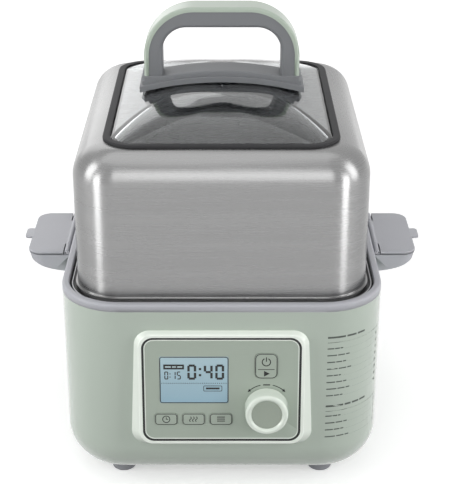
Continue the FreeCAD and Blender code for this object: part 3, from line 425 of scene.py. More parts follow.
@dataclass(frozen=True)
class PaintedLightDisplayFinish(Finish):
    """A display whose colour pales towards its top, a painted highlight of the light falling on it from above."""

    # Painted light: the display's colour runs from this darker one at its bottom to its own at its top, between
    # these heights in metres.
    lower: Colour = paint(140, 178, 196)
    low: float = 0.088
    high: float = 0.130

    def _tint(self, wiring: Wiring, place: bpy.types.Node) -> object:
        """The colour before the grain, paler with the height, which paints light on the display.

        Args:
            wiring: The material's wiring.
            place: The material's coordinates.

        Returns:
            The socket of the varying colour.
        """
        # The height sets the painted light: darker below, paler above.
        parts = wiring.add("ShaderNodeSeparateXYZ", Vector=place.outputs["Object"])
        climb = wiring.add("ShaderNodeMapRange", Value=parts.outputs["Z"], From_Min=self.low, From_Max=self.high)
        ramp = wiring.add("ShaderNodeValToRGB", Fac=climb.outputs[0])
        ramp.color_ramp.elements[0].color = (*self.lower, 1)
        ramp.color_ramp.elements[1].color = (*self.colour, 1)
        return ramp.outputs[0]


@dataclass(frozen=True)
class GlassFinish(Finish):
    """Clear tempered glass with a faint grey tint."""

    def _shader(self, wiring: Wiring, groups: SurfaceGroups) -> bpy.types.Node:
        """Wires the glass.

        Args:
            wiring: The material's wiring.
            groups: The shared node groups.

        Returns:
            The shader node.
        """
        place = wiring.add("ShaderNodeTexCoord")
        marks = wiring.add("ShaderNodeGroup", {"node_tree": groups.smudge}, Vector=place.outputs["Object"],
                           Roughness=self.roughness, Amount=self.smudge)
        return wiring.add("ShaderNodeBsdfPrincipled", Base_Color=(*self.colour, 1), Roughness=marks.outputs[0],
                          IOR=1.5, Transmission_Weight=1.0)


HOUSING = Finish("glossy_green_housing", paint(172, 184, 172), 0.2, coat=0.8, scale=1400, bump=0.01,
                 variation=0.03, spread=0.03)
BEZEL = Finish("glossy_pale_bezel", paint(238, 245, 236), 0.14, coat=0.8, scale=1400, bump=0.01, variation=0.02)
HANDLE = Finish("satin_green_handle", paint(178, 191, 177), 0.3, coat=0.2, scale=1600, bump=0.04)
TRIM = Finish("lilac_grey_trim", paint(176, 177, 183), 0.42, scale=1800, bump=0.06)
CORE = Finish("grey_handle_core", paint(124, 126, 129), 0.5, scale=1800, bump=0.08)
PANEL = Finish("satin_panel", paint(166, 177, 165), 0.46, scale=2200, bump=0.06, variation=0.05)
KEY = Finish("pale_key", paint(164, 175, 163), 0.36, scale=2200, bump=0.04)
KNOB = Finish("glossy_pale_knob", paint(226, 235, 224), 0.2, coat=0.6, scale=1500, bump=0.02)
STEEL = Finish("brushed_hood_steel", paint(140, 140, 140), 0.27, metallic=1.0, grain=Grain.BRUSHED_ROUND,
               scale=1500, variation=0.24, spread=0.16, bump=0.12, smudge=0.03, brushed=0.75)
TANK = Finish("satin_tank_steel", paint(170, 170, 172), 0.34, metallic=1.0, grain=Grain.BRUSHED_ALONG_X,
              scale=1200, variation=0.2, spread=0.15, bump=0.08)
SCREW = Finish("plated_screw_steel", paint(168, 168, 172), 0.3, metallic=1.0, scale=2500, variation=0.12, bump=0.1)
CAST = Finish("cast_aluminium", paint(178, 178, 178), 0.5, metallic=1.0, scale=900, variation=0.2, bump=0.3)
SEAL = Finish("black_rubber", paint(42, 42, 44), 0.6, scale=1500, bump=0.1, specular=0.3)
FOOT = Finish("grey_rubber", paint(150, 151, 156), 0.62, scale=1500, bump=0.12, specular=0.35)
BLACK = Finish("black_plastic", paint(38, 38, 41), 0.42, scale=1700, bump=0.08)
BOARD = Finish("green_circuit_board", paint(44, 104, 66), 0.36, coat=0.3, scale=700, variation=0.3, bump=0.1)
BRASS = Finish("plated_brass", paint(206, 178, 120), 0.26, metallic=1.0, scale=2000, variation=0.1)
KNOB_FACE = Finish("dished_knob_face", paint(152, 162, 149), 0.32, coat=0.3, scale=1800, bump=0.05)
GUIDE_INK = Finish("guide_print", paint(66, 74, 68), 0.45, scale=3000, variation=0.1, bump=0.03)
INK = Finish("dark_print", paint(16, 18, 17), 0.5, scale=3000, variation=0.1, bump=0.03)
# The display's finish paints light on it, paler towards its top.
DISPLAY = PaintedLightDisplayFinish("display_painted_light", paint(170, 198, 207), 0.12, coat=0.8, scale=1500, variation=0.02, bump=0.0)
LIT = Finish("pale_display_mark", paint(205, 224, 230), 0.3, scale=3000, variation=0.05)
GLASS = GlassFinish("tempered_glass", (0.80, 0.83, 0.84), 0.015, smudge=0.01)

NODE_FINISH: dict[str, Finish] = {
    "base_housing": HOUSING, "rim_collar": TRIM, "tank_seal": SEAL, "water_tank": TANK, "foot_front_left": FOOT,
    "foot_front_right": FOOT, "foot_rear_left": FOOT, "foot_rear_right": FOOT, "bottom_cover": TRIM,
    "control_bezel": BEZEL, "panel_gasket": SEAL, "control_panel": PANEL, "preset_button": KEY,
    "warm_button": KEY, "menu_button": KEY, "start_button": KEY, "time_knob": KNOB, "encoder_body": BLACK,
    "encoder_shaft": BRASS, "lcd_window": DISPLAY, "lcd_module": BLACK, "control_board": BOARD,
    "button_switches": BLACK, "left_fill_spout": TRIM, "right_fill_spout": TRIM, "left_fill_flap": TRIM,
    "right_fill_flap": TRIM, "left_hinge_pin": SCREW, "right_hinge_pin": SCREW, "handle_base": CORE,
    "handle_core": CORE, "handle_shell": HANDLE, "steam_tray": TANK, "heater_plate": CAST,
    "heating_element": SCREW, "heater_bracket": SCREW, "bracket_screws": SCREW, "thermostat": BLACK,
    "power_board": BOARD, "board_screws": SCREW, "power_inlet": BLACK, "inlet_pins": BRASS,
    "handle_washers": SEAL, "handle_screws": SCREW, "wiring_harness": BLACK, "ribbon_cable": FOOT,
}
SMOOTH_COPIES = (
    "base_housing", "rim_collar", "tank_seal", "water_tank", "foot_front_left", "foot_front_right",
    "foot_rear_left", "foot_rear_right", "bottom_cover", "control_bezel", "panel_gasket", "control_panel",
    "preset_button", "warm_button", "menu_button", "start_button", "lcd_window", "left_fill_spout",
    "right_fill_spout", "left_fill_flap", "right_fill_flap", "left_hinge_pin", "right_hinge_pin",
    "handle_core", "handle_shell", "steam_tray", "power_inlet", "heater_plate",
)
OWN_SHAPES = ("handle_base", "time_knob")


def settled(rough: bpy.types.Object, name: str) -> bpy.types.Object:
    """Turns an object with modifiers into one with a plain mesh.

    Args:
        rough: The object with its modifiers.
        name: The new object's name.

    Returns:
        The plain object at the origin.
    """
    bpy.context.view_layer.update()
    graph = bpy.context.evaluated_depsgraph_get()
    mesh = bpy.data.meshes.new_from_object(rough.evaluated_get(graph), preserve_all_data_layers=True,
                                           depsgraph=graph)
    mesh.name = name
    made = bpy.data.objects.new(name, mesh)
    bpy.context.scene.collection.objects.link(made)
    bpy.data.objects.remove(rough)
    return made


def ended(shape: bmesh.types.BMesh, name: str) -> bpy.types.Mesh:
    """Turns a drawn shape into a mesh and frees it.

    Args:
        shape: The shape.
        name: The mesh's name.

    Returns:
        The mesh.
    """
    mesh = bpy.data.meshes.new(name)
    shape.to_mesh(mesh)
    shape.free()
    return mesh


def bridged(shape: bmesh.types.BMesh, rows: Sequence[Sequence[bmesh.types.BMVert]], around: bool = True) -> None:
    """Joins each row of corners to the next by four-sided faces.

    Args:
        shape: The shape that gets the faces.
        rows: The rows, of equal count.
        around: True joins each row's end to its start.
    """
    for low, high in zip(rows, rows[1:]):
        for index in range(len(low) if around else len(low) - 1):
            after = (index + 1) % len(low)
            shape.faces.new((low[index], low[after], high[after], high[index]))


@dataclass(frozen=True)
class Ring:
    """A rounded rectangle at one height, in millimetres from the middle of the base."""

    half_x: float
    half_y: float
    corner: float
    z: float

    @staticmethod
    def inset(amount: float, z: float) -> "Ring":
        """The base's own outline drawn in.

        Args:
            amount: How far it is drawn in.
            z: Its height.

        Returns:
            The ring.
        """
        return Ring(BASE_HALF_X - amount, BASE_HALF_Y - amount, BASE_CORNER - amount, z)

    def points(self, steps: int = 20) -> list[Vector]:
        """The ring's points, counted the same on every ring.

        Args:
            steps: The spans of each corner.

        Returns:
            The points in metres.
        """
        found = []
        for number, (side_x, side_y) in enumerate(((1, 1), (-1, 1), (-1, -1), (1, -1))):
            centre_x = side_x * (self.half_x - self.corner)
            centre_y = side_y * (self.half_y - self.corner) + BASE_Y
            for step in range(steps + 1):
                turn = math.radians(90 * (number + step / steps))
                found.append(Vector((centre_x + self.corner * math.cos(turn),
                                     centre_y + self.corner * math.sin(turn), self.z)) * MM)
        return found


def swept(rings: Sequence[Ring], name: str) -> bpy.types.Mesh:
    """Joins rings into one skin, the last to the first.

    Args:
        rings: The rings in order, outer side first and climbing.
        name: The mesh's name.

    Returns:
        The mesh.
    """
    shape = bmesh.new()
    rows = [[shape.verts.new(point) for point in ring.points()] for ring in rings]
    bridged(shape, rows + rows[:1])
    bmesh.ops.remove_doubles(shape, verts=shape.verts, dist=1e-7)
    bmesh.ops.recalc_face_normals(shape, faces=shape.faces)
    return ended(shape, name)


def skinned(rows: Sequence[Sequence[Vector]], name: str, around: bool = True) -> bpy.types.Mesh:
    """Joins sections of equal count into one closed skin.

    Args:
        rows: The sections, each an outline without a repeated corner where around is True, and with its first
            corner repeated at its end where around is False.
        name: The mesh's name.
        around: True joins each section's ends, and closes the first and the last with a cap. False joins the
            last section to the first instead, as on a turned shape.

    Returns:
        The mesh.
    """
    shape = bmesh.new()
    lines = [[shape.verts.new(point) for point in row] for row in rows]
    bridged(shape, lines if around else lines + lines[:1], around)
    if around:
        shape.faces.new(lines[0][::-1])
        shape.faces.new(lines[-1])
    bmesh.ops.remove_doubles(shape, verts=shape.verts, dist=1e-6)
    bmesh.ops.recalc_face_normals(shape, faces=shape.faces)
    return ended(shape, name)


def joined(meshes: Sequence[bpy.types.Mesh], name: str) -> bpy.types.Mesh:
    """Puts several meshes into one.

    Args:
        meshes: The meshes.
        name: The new mesh's name.

    Returns:
        The mesh.
    """
    shape = bmesh.new()
    for mesh in meshes:
        shape.from_mesh(mesh)
    return ended(shape, name)


@dataclass
class Workshop:
    """What every sub-assembly needs: the loaded frame, the groups and the ways to make a piece."""

    frame: dict
    groups: SurfaceGroups
    body_of: dict[str, str] = field(default_factory=dict)
    slot_of: dict[str, str] = field(default_factory=dict)

    def __post_init__(self) -> None:
        """Notes which body and slot each node has."""
        record = self.frame["record"]
        for body, nodes in record["behaviour"]["bodies"].items():
            self.body_of.update(dict.fromkeys(nodes, body))
        self.slot_of = {part["node"]: part["material_slot"] for part in record["subparts"]}

    def piece(self, name: str, mesh: bpy.types.Mesh, finish: Finish, body: str, slot: str,
              nodes: Iterable[str] = (), crease: float = 32.0) -> bpy.types.Object:
        """Adds a finished piece to the object.

        Args:
            name: The piece's name.
            mesh: Its mesh, already in place.
            finish: Its finish.
            body: The body that it rides on.
            slot: The record's slot of its finish; not used.
            nodes: The CAD nodes that it stands for.
            crease: The angle in degrees past which an edge stays sharp.

        Returns:
            The piece.
        """
        mesh.materials.clear()
        mesh.materials.append(finish.material(self.groups))
        mesh.polygons.foreach_set("use_smooth", [True] * len(mesh.polygons))
        mesh.set_sharp_from_angle(angle=math.radians(crease))
        rough = bpy.data.objects.new(name + "_rough", mesh)
        bpy.context.scene.collection.objects.link(rough)
        normals = rough.modifiers.new("normals", "WEIGHTED_NORMAL")
        normals.keep_sharp = True
        normals.weight = 100
        made = settled(rough, name)
        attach(made, body)
        if nodes:
            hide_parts(*nodes)
        LOG.info("%s: %d faces", name, len(made.data.polygons))
        return made

    def smooth_copy(self, node: str) -> bpy.types.Object:
        """Replaces a CAD node by a merged copy with even shading.

        Args:
            node: The node's name.

        Returns:
            The piece.
        """
        shape = bmesh.new()
        shape.from_mesh(self.frame["nodes"][node].data)
        bmesh.ops.remove_doubles(shape, verts=shape.verts, dist=2e-6)
        return self.piece(node + "_finished", ended(shape, node + "_smooth"), NODE_FINISH[node],
                          self.body_of[node], self.slot_of[node], [node])

    def dress(self, node: str) -> None:
        """Gives a CAD node that stays as it is its finish.

        Args:
            node: The node's name.
        """
        materials = self.frame["nodes"][node].data.materials
        materials.clear()
        materials.append(NODE_FINISH[node].material(self.groups))


@dataclass
class HandleBar:
    """The arched bar that carries the handle on the glass."""

    workshop: Workshop
    half: float = 69.0
    low: float = 303.2
    arc: float = 269.0
    deep: float = 16.0
    top_deep: float = 13.5
    step: float = 5.0
    tall: float = 9.0
    socket_x: float = 57.25
    socket_half: float = 9.95
    socket_deep: float = 13.56
    socket_corner: float = 3.0
    socket_top: float = 316.6
    socket_ease: float = 0.6
    spans: int = 48

    def _station(self, x: float, section: Sequence[Point]) -> list[Vector]:
        """The bar's section at one place along it.

        Args:
            x: The place along the bar.
            section: Depth and height of each corner above the underside.

        Returns:
            The corners in metres.
        """
        under = self.low + math.sqrt(self.arc ** 2 - x ** 2) - math.sqrt(self.arc ** 2 - self.half ** 2)
        return [Vector((x, depth + BASE_Y, under + high)) * MM for depth, high in section]

    def _strip(self, half: float, deep: float, low: float, high: float, ease: float) -> bpy.types.Mesh:
        """One arched strip with eased upper edges.

        Args:
            half: Half its length.
            deep: Half its depth.
            low: The height of its underside above the bar's.
            high: The height of its top above the bar's underside.
            ease: The size of the eased edges.

        Returns:
            The mesh.
        """
        section = [(-deep, low), (deep, low)]
        for middle, start in ((deep - ease, 0), (ease - deep, 90)):
            for step in range(5):
                turn = math.radians(start + 22.5 * step)
                section.append((middle + ease * math.cos(turn), high - ease + ease * math.sin(turn)))
        rows = [self._station(-half + 2 * half * index / self.spans, section) for index in range(self.spans + 1)]
        return skinned(rows, "handle_bar_strip")

    def build(self) -> None:
        """Makes the bar with its two sockets."""
        parts = [self._strip(self.half, self.deep, 0.0, self.step, 0.8),
                 self._strip(self.half - 2.4, self.top_deep, 1.5, self.tall, 1.0)]
        ease = self.socket_ease
        levels = ((0.0, self.low + 6), (0.0, self.socket_top - ease), (-ease, self.socket_top))
        for side in (1, -1):
            rings = []
            for grow, high in levels:
                ring = Ring(self.socket_half + grow, self.socket_deep + grow, self.socket_corner + grow, high)
                rings.append([point + Vector((side * self.socket_x * MM, 0, 0)) for point in ring.points(6)])
            parts.append(skinned(rings, "handle_bar_socket"))
        self.workshop.piece("handle_bar_arched", joined(parts, "handle_bar_arched"), CORE, "hood", "trim_grey",
                            ["handle_base"])


@dataclass
class Knob:
    """The turning knob with its dished face."""

    workshop: Workshop
    sides: int = 72
    body: tuple[Point, ...] = (
        (3.0, 0.9), (5.0, 0.9), (5.0, 10.5), (15.4, 10.5), (15.6, 0.3), (15.8, 0.1), (17.5, 0.1), (17.7, 0.3),
        (17.55, 4.0), (17.4, 8.0), (17.2, 12.0), (17.0, 12.7), (16.5, 13.4), (15.9, 13.8), (15.2, 14.0),
        (14.5, 14.0), (13.9, 13.85), (13.3, 13.4), (12.8, 12.9), (12.3, 12.5), (12.2, 12.3), (3.0, 12.3))
    face: tuple[Point, ...] = (
        (12.25, 12.35), (12.25, 12.62), (11.9, 12.72), (9.0, 12.52), (5.0, 12.42), (0.02, 12.4), (0.02, 12.35))

    def _turned(self, profile: Sequence[Point], name: str) -> bpy.types.Mesh:
        """Turns a profile about the knob's axis.

        Args:
            profile: Radius and height of each point.
            name: The mesh's name.

        Returns:
            The mesh.
        """
        x, y = KNOB_PLACE
        rows = []
        for index in range(self.sides):
            turn = math.tau * index / self.sides
            rows.append([on_panel(x + reach * math.cos(turn), y + reach * math.sin(turn), out)
                         for reach, out in (*profile, profile[0])])
        return skinned(rows, name, around=False)

    def build(self) -> None:
        """Makes the knob and its face."""
        self.workshop.piece("time_knob_turned", self._turned(self.body, "time_knob_turned"), KNOB, "knob",
                            "key_light", ["time_knob"])
        self.workshop.piece("time_knob_face", self._turned(self.face, "time_knob_face"), KNOB_FACE, "knob",
                            "key_light")


@dataclass
class Hood:
    """The steel hood, its gasket and the domed glass."""

    workshop: Workshop
    wall: float = 13.0
    sheet: float = 1.2
    foot: float = 167.3
    top: float = 290.0
    top_round: float = 25.0
    skirt: float = 17.0
    skirt_tip: float = 159.0
    flange: float = 11.3
    flange_low: float = 171.0
    flange_high: float = 172.2
    opening: tuple[float, float, float] = (91.0, 113.0, 23.5)
    glass_edge: float = 291.2
    glass_rise: float = 19.8
    glass_thick: float = 4.0
    glass_gap: float = 1.2
    glass_ease: float = 1.6
    glass_rim: float = 6.0
    ridge_half: float = 22.0
    dome_corner: float = 46.0
    dome_power: float = 2.6
    gasket: tuple[Point, ...] = (
        (-1.1, 286.0), (1.3, 286.0), (1.3, 288.8), (0.0, 288.8), (0.0, 290.0), (3.5, 290.0), (3.5, 291.4),
        (3.2, 292.1), (2.5, 292.4), (-1.8, 292.4), (-2.4, 292.1), (-2.5, 291.3), (-1.1, 291.3))

    def build(self) -> None:
        """Makes the three pieces."""
        self.workshop.piece("hood_shell_swept", swept(self._shell(), "hood_shell_swept"), STEEL, "hood",
                            "steel_brushed", ["hood_shell"], crease=38.0)
        self.workshop.piece("hood_glass_domed", self._glass(), GLASS, "hood", "glass_clear", ["hood_glass"],
                            crease=60.0)
        band = [self._around_opening(grow, height) for grow, height in self.gasket]
        self.workshop.piece("glass_gasket_swept", swept(band, "glass_gasket_swept"), SEAL, "hood", "rubber_dark",
                            ["glass_gasket"], crease=50.0)

    def _around_opening(self, grow: float, height: float) -> Ring:
        """The outline of the hole for the glass, grown or drawn in.

        Args:
            grow: How far it grows.
            height: Its height.

        Returns:
            The ring.
        """
        return Ring(*(size + grow for size in self.opening), height)

    def _shell(self) -> list[Ring]:
        """The closed section of the sheet.

        Returns:
            The rings, outside first.
        """
        wall, sheet, bend, skirt, flange = self.wall, self.sheet, self.top_round, self.skirt, self.flange
        start, bend_from = self.flange_high + 0.4, self.top - bend
        profile = [(skirt, self.skirt_tip), (skirt, self.foot), (wall, self.foot), (wall, self.flange_low),
                   (flange + 0.2, self.flange_low), (flange, self.flange_low + 0.2),
                   (flange, self.flange_high - 0.2), (flange + 0.2, self.flange_high),
                   (wall - 0.3, self.flange_high), (wall, start)]
        profile += [(wall, start + (bend_from - start) * share / 6) for share in range(1, 7)]
        outer = [Ring.inset(*spot) for spot in profile + self._bend(wall, bend, range(1, 13))]
        inner = [self._around_opening(0.0, self.top), self._around_opening(0.0, self.top - sheet)]
        inner += [Ring.inset(*spot) for spot in self._bend(wall + sheet, bend - sheet, range(12, -1, -1))]
        seat = self.foot + sheet
        inner += [Ring.inset(wall + sheet, seat), Ring.inset(skirt + sheet, seat),
                  Ring.inset(skirt + sheet, self.skirt_tip)]
        return outer + inner

    def _bend(self, wall: float, radius: float, steps: Iterable[int]) -> list[Point]:
        """The bend between the sides and the roof.

        Args:
            wall: How far its lower end is drawn in.
            radius: Its radius.
            steps: Which of its 12 spans' ends are made, in order.

        Returns:
            The inset and the height of each place.
        """
        low = self.top - self.top_round
        return [(wall + radius * (1 - math.cos(math.radians(7.5 * step))),
                 low + radius * math.sin(math.radians(7.5 * step))) for step in steps]

    def _dome(self, inset: float, lift: float, rise: float, spans: int = 26) -> list[Ring]:
        """The rings of one face of the glass, flat in the middle and steep at its rim.

        Args:
            inset: How far its edge is drawn in.
            lift: The height of its edge.
            rise: How far the middle is above the edge.
            spans: The number of rings.

        Returns:
            The rings from the edge to the middle.
        """
        edge_x, edge_y, edge_corner = (size - self.glass_gap for size in self.opening)
        rings = []
        for step in range(spans + 1):
            share = math.cos(math.radians(90 * step / (spans + 0.2)))
            drawn = inset + (1 - share) * edge_x
            half_x = edge_x - drawn
            half_y = max(edge_y - drawn, self.ridge_half * share + self.ridge_half)
            corner = edge_corner - inset + self.dome_corner * (1 - share) ** 0.8 * share ** 0.5
            height = lift + rise * (1 - share ** self.dome_power)
            rings.append(Ring(half_x, half_y, min(corner, half_x * 0.98), height))
        return rings

    def _glass(self) -> bpy.types.Mesh:
        """Closes two domes into one pane.

        Returns:
            The mesh.
        """
        bottom = self.glass_edge - self.glass_thick
        upper = [self._around_opening(-self.glass_gap, bottom),
                 self._around_opening(-self.glass_gap, self.glass_edge - 0.2),
                 *self._dome(self.glass_ease, self.glass_edge, self.glass_rise)]
        under = self._dome(self.glass_rim, bottom, self.glass_rise - 0.4)
        shape = bmesh.new()
        tops, lows = ([[shape.verts.new(point) for point in ring.points(12)] for ring in rings]
                      for rings in (upper, under))
        for rows in (tops, lows, [lows[0], tops[0]]):
            bridged(shape, rows)
        shape.faces.new(tops[-1])
        shape.faces.new(lows[-1][::-1])
        bmesh.ops.recalc_face_normals(shape, faces=shape.faces)
        return ended(shape, "hood_glass_domed")


# Which of its seven segments, a to g, each digit lights.
SEGMENTS = {"0": "abcdef", "1": "bc", "2": "abged", "3": "abgcd", "4": "fgbc", "5": "afgcd", "6": "afgedc",
            "7": "abc", "8": "abcdefg", "9": "abcdfg"}


@dataclass
class PrintPlate:
    """Thin printed marks that are laid on a surface through its own flat coordinates."""

    place: Callable[[float, float, float], Vector]
    raised: float = 0.05
    thick: float = 0.09
    step: float = 1.5
    shape: bmesh.types.BMesh = field(default_factory=bmesh.new)

    def polygon(self, points: Sequence[Point]) -> None:
        """Adds one flat outline, drawn against the clock.

        Args:
            points: Its corners in millimetres.
        """
        top = [self.shape.verts.new(self.place(x, y, self.raised)) for x, y in points]
        low = [self.shape.verts.new(self.place(x, y, self.raised - self.thick)) for x, y in points]
        self.shape.faces.new(top)
        self.shape.faces.new(low[::-1])
        bridged(self.shape, (low, top))

    def bar(self, left: float, low: float, right: float, high: float) -> None:
        """Adds an upright rectangle, in short spans that follow a curved surface.

        Args:
            left: Its left edge.
            low: Its lower edge.
            right: Its right edge.
            high: Its upper edge.
        """
        spans = max(1, math.ceil((right - left) / self.step))
        edges = [left + (right - left) * index / spans for index in range(spans + 1)]
        lower = [(x, low) for x in edges]
        self.polygon(lower + [(x, high) for x in reversed(edges)])

    def frame(self, left: float, low: float, right: float, high: float, line: float, corner: float) -> None:
        """Adds an outline with rounded corners.

        Args:
            left: Its left edge.
            low: Its lower edge.
            right: Its right edge.
            high: Its upper edge.
            line: The line's width.
            corner: The outer radius of its corners.
        """
        middles = ((right - corner, high - corner), (left + corner, high - corner),
                   (left + corner, low + corner), (right - corner, low + corner))
        outer, inner = ([round_point(middle, radius, 90 * number + 15 * step)
                         for number, middle in enumerate(middles) for step in range(7)]
                        for radius in (corner, corner - line))
        for index in range(len(outer)):
            after = (index + 1) % len(outer)
            self.polygon([outer[index], outer[after], inner[after], inner[index]])

    def arc(self, centre: Point, radius: float, start: float, end: float, line: float) -> None:
        """Adds a curved line.

        Args:
            centre: The arc's middle.
            radius: Its radius.
            start: The angle where it starts, in degrees.
            end: The angle where it ends.
            line: The line's width.
        """
        spans = max(3, int(abs(end - start) / 6))
        angles = [start + (end - start) * index / spans for index in range(spans + 1)]
        low, high = radius - line / 2, radius + line / 2
        for first, last in zip(angles, angles[1:]):
            self.polygon([round_point(centre, low, first), round_point(centre, high, first),
                          round_point(centre, high, last), round_point(centre, low, last)])

    def digit(self, number: str, left: float, low: float, wide: float, tall: float, line: float) -> float:
        """Adds a digit of straight segments, or a colon.

        Args:
            number: A digit or a colon.
            left: Its left edge.
            low: Its lower edge.
            wide: Its width.
            tall: Its height.
            line: The width of a segment.

        Returns:
            The left edge of what follows.
        """
        if number == ":":
            for height in (0.3, 0.7):
                middle = low + tall * height
                self.bar(left, middle - line / 2, left + line, middle + line / 2)
            return left + line * 2.1
        right, high, half = left + wide, low + tall, low + tall / 2
        spots = {
            "a": (left + line * 0.6, high - line, right - line * 0.6, high),
            "b": (right - line, half + line * 0.3, right, high - line * 0.6),
            "c": (right - line, low + line * 0.6, right, half - line * 0.3),
            "d": (left + line * 0.6, low, right - line * 0.6, low + line),
            "e": (left, low + line * 0.6, left + line, half - line * 0.3),
            "f": (left, half + line * 0.3, left + line, high - line * 0.6),
            "g": (left + line * 0.8, half - line / 2, right - line * 0.8, half + line / 2),
        }
        for segment in SEGMENTS[number]:
            self.bar(*spots[segment])
        return right + line * 1.1

    def number(self, text: str, left: float, low: float, wide: float, tall: float, line: float) -> None:
        """Adds a plain number.

        Args:
            text: Its digits and colons.
            left: Its left edge.
            low: Its lower edge.
            wide: The width of a digit.
            tall: Its height.
            line: The width of a segment.
        """
        for sign in text:
            left = self.digit(sign, left, low, wide, tall, line)

    def mesh(self, name: str) -> bpy.types.Mesh:
        """Ends the drawing.

        Args:
            name: The mesh's name.

        Returns:
            The mesh.
        """
        return ended(self.shape, name)


class RowTree:
    """A Geometry Nodes tree that sets marks in a row, at the marks of a guide mesh."""

    def __init__(self) -> None:
        """Builds the tree with named inputs."""
        self.tree = bpy.data.node_groups.new("marks_on_guide", "GeometryNodeTree")
        for label, way, kind in (("Guide", "INPUT", "Geometry"), ("Mark", "INPUT", "Object"),
                                 ("Size", "INPUT", "Float"), ("Finish", "INPUT", "Material"),
                                 ("Marks", "OUTPUT", "Geometry")):
            self.tree.interface.new_socket(label, in_out=way, socket_type=f"NodeSocket{kind}")
        wiring = Wiring(self.tree)
        entry = wiring.add("NodeGroupInput")
        leave = wiring.add("NodeGroupOutput")
        normal = wiring.add("GeometryNodeInputNormal")
        turn = wiring.add("FunctionNodeAlignRotationToVector", {"axis": "Z"}, Vector=normal.outputs[0])
        mark = wiring.add("GeometryNodeObjectInfo", Object=entry.outputs["Mark"])
        kept = wiring.add("GeometryNodeCaptureAttribute", {"domain": "FACE"}, Geometry=entry.outputs["Guide"])
        kept.capture_items.new("ROTATION", "Turn")
        wiring.join(turn.outputs[0], kept.inputs["Turn"])
        spots = wiring.add("GeometryNodeMeshToPoints", {"mode": "FACES"}, Mesh=kept.outputs["Geometry"])
        placed = wiring.add("GeometryNodeInstanceOnPoints", Points=spots.outputs[0],
                            Instance=mark.outputs["Geometry"], Rotation=kept.outputs["Turn"])
        sized = wiring.add("ShaderNodeCombineXYZ", X=entry.outputs["Size"], Y=entry.outputs["Size"],
                           Z=entry.outputs["Size"])
        wiring.join(sized.outputs[0], placed.inputs["Scale"])
        real = wiring.add("GeometryNodeRealizeInstances", Geometry=placed.outputs[0])
        dressed = wiring.add("GeometryNodeSetMaterial", Geometry=real.outputs[0], Material=entry.outputs["Finish"])
        wiring.join(dressed.outputs[0], leave.inputs["Marks"])

    def lay(self, name: str, spots: Sequence[tuple[Vector, Vector]], mark: bpy.types.Object, size: float,
            material: bpy.types.Material, slot: str) -> bpy.types.Object:
        """Sets one mark at every spot of the base, and takes the template away.

        Args:
            name: The result's name.
            spots: The place and the outward direction of each mark.
            mark: The template object.
            size: How many times the template's size.
            material: The marks' material.
            slot: The record's slot of what they are set on; not used.

        Returns:
            The marks as one plain object.
        """
        guide = bpy.data.meshes.new(name + "_guide")
        corners, faces = [], []
        for place, outward in spots:
            side = outward.orthogonal().normalized()
            over = outward.cross(side).normalized()
            first = len(corners)
            for turn in (0, 120, 240):
                angle = math.radians(turn)
                corners.append(place + (side * math.cos(angle) + over * math.sin(angle)) * 1e-4)
            faces.append((first, first + 1, first + 2))
        guide.from_pydata(corners, [], faces)
        rough = bpy.data.objects.new(name + "_rough", guide)
        bpy.context.scene.collection.objects.link(rough)
        nodes = rough.modifiers.new("marks", "NODES")
        nodes.node_group = self.tree
        ids = {item.name: item.identifier for item in self.tree.interface.items_tree if item.in_out == "INPUT"}
        nodes[ids["Mark"]] = mark
        nodes[ids["Size"]] = size
        nodes[ids["Finish"]] = material
        made = settled(rough, name)
        bpy.data.objects.remove(mark)
        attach(made, "base")
        LOG.info("%s: %d marks", name, len(spots))
        return made


def round_mark(name: str, profile: Sequence[Point], sides: int = 12, cross: bool = False) -> bpy.types.Object:
    """A small turned shape about Z, used as a template.

    Args:
        name: Its name.
        profile: Radius and height of each ring in millimetres, from the outside below to the middle above.
        sides: The number of its sides.
        cross: True sinks a cross-shaped recess into its head.

    Returns:
        The template, which isn't shown.
    """
    shape = bmesh.new()
    rows = []
    for radius, height in profile:
        row = []
        for index in range(sides):
            sunk = CROSS_DEPTH if cross and radius < CROSS_REACH and index % (sides // 4) == 0 else 0.0
            place = (*round_point((0, 0), radius, 360 * index / sides), height - sunk)
            row.append(shape.verts.new(Vector(place) * MM))
        rows.append(row)
    bridged(shape, rows)
    shape.faces.new(rows[-1])
    shape.faces.new(rows[0][::-1])
    made = bpy.data.objects.new(name, ended(shape, name))
    bpy.context.scene.collection.objects.link(made)
    return made


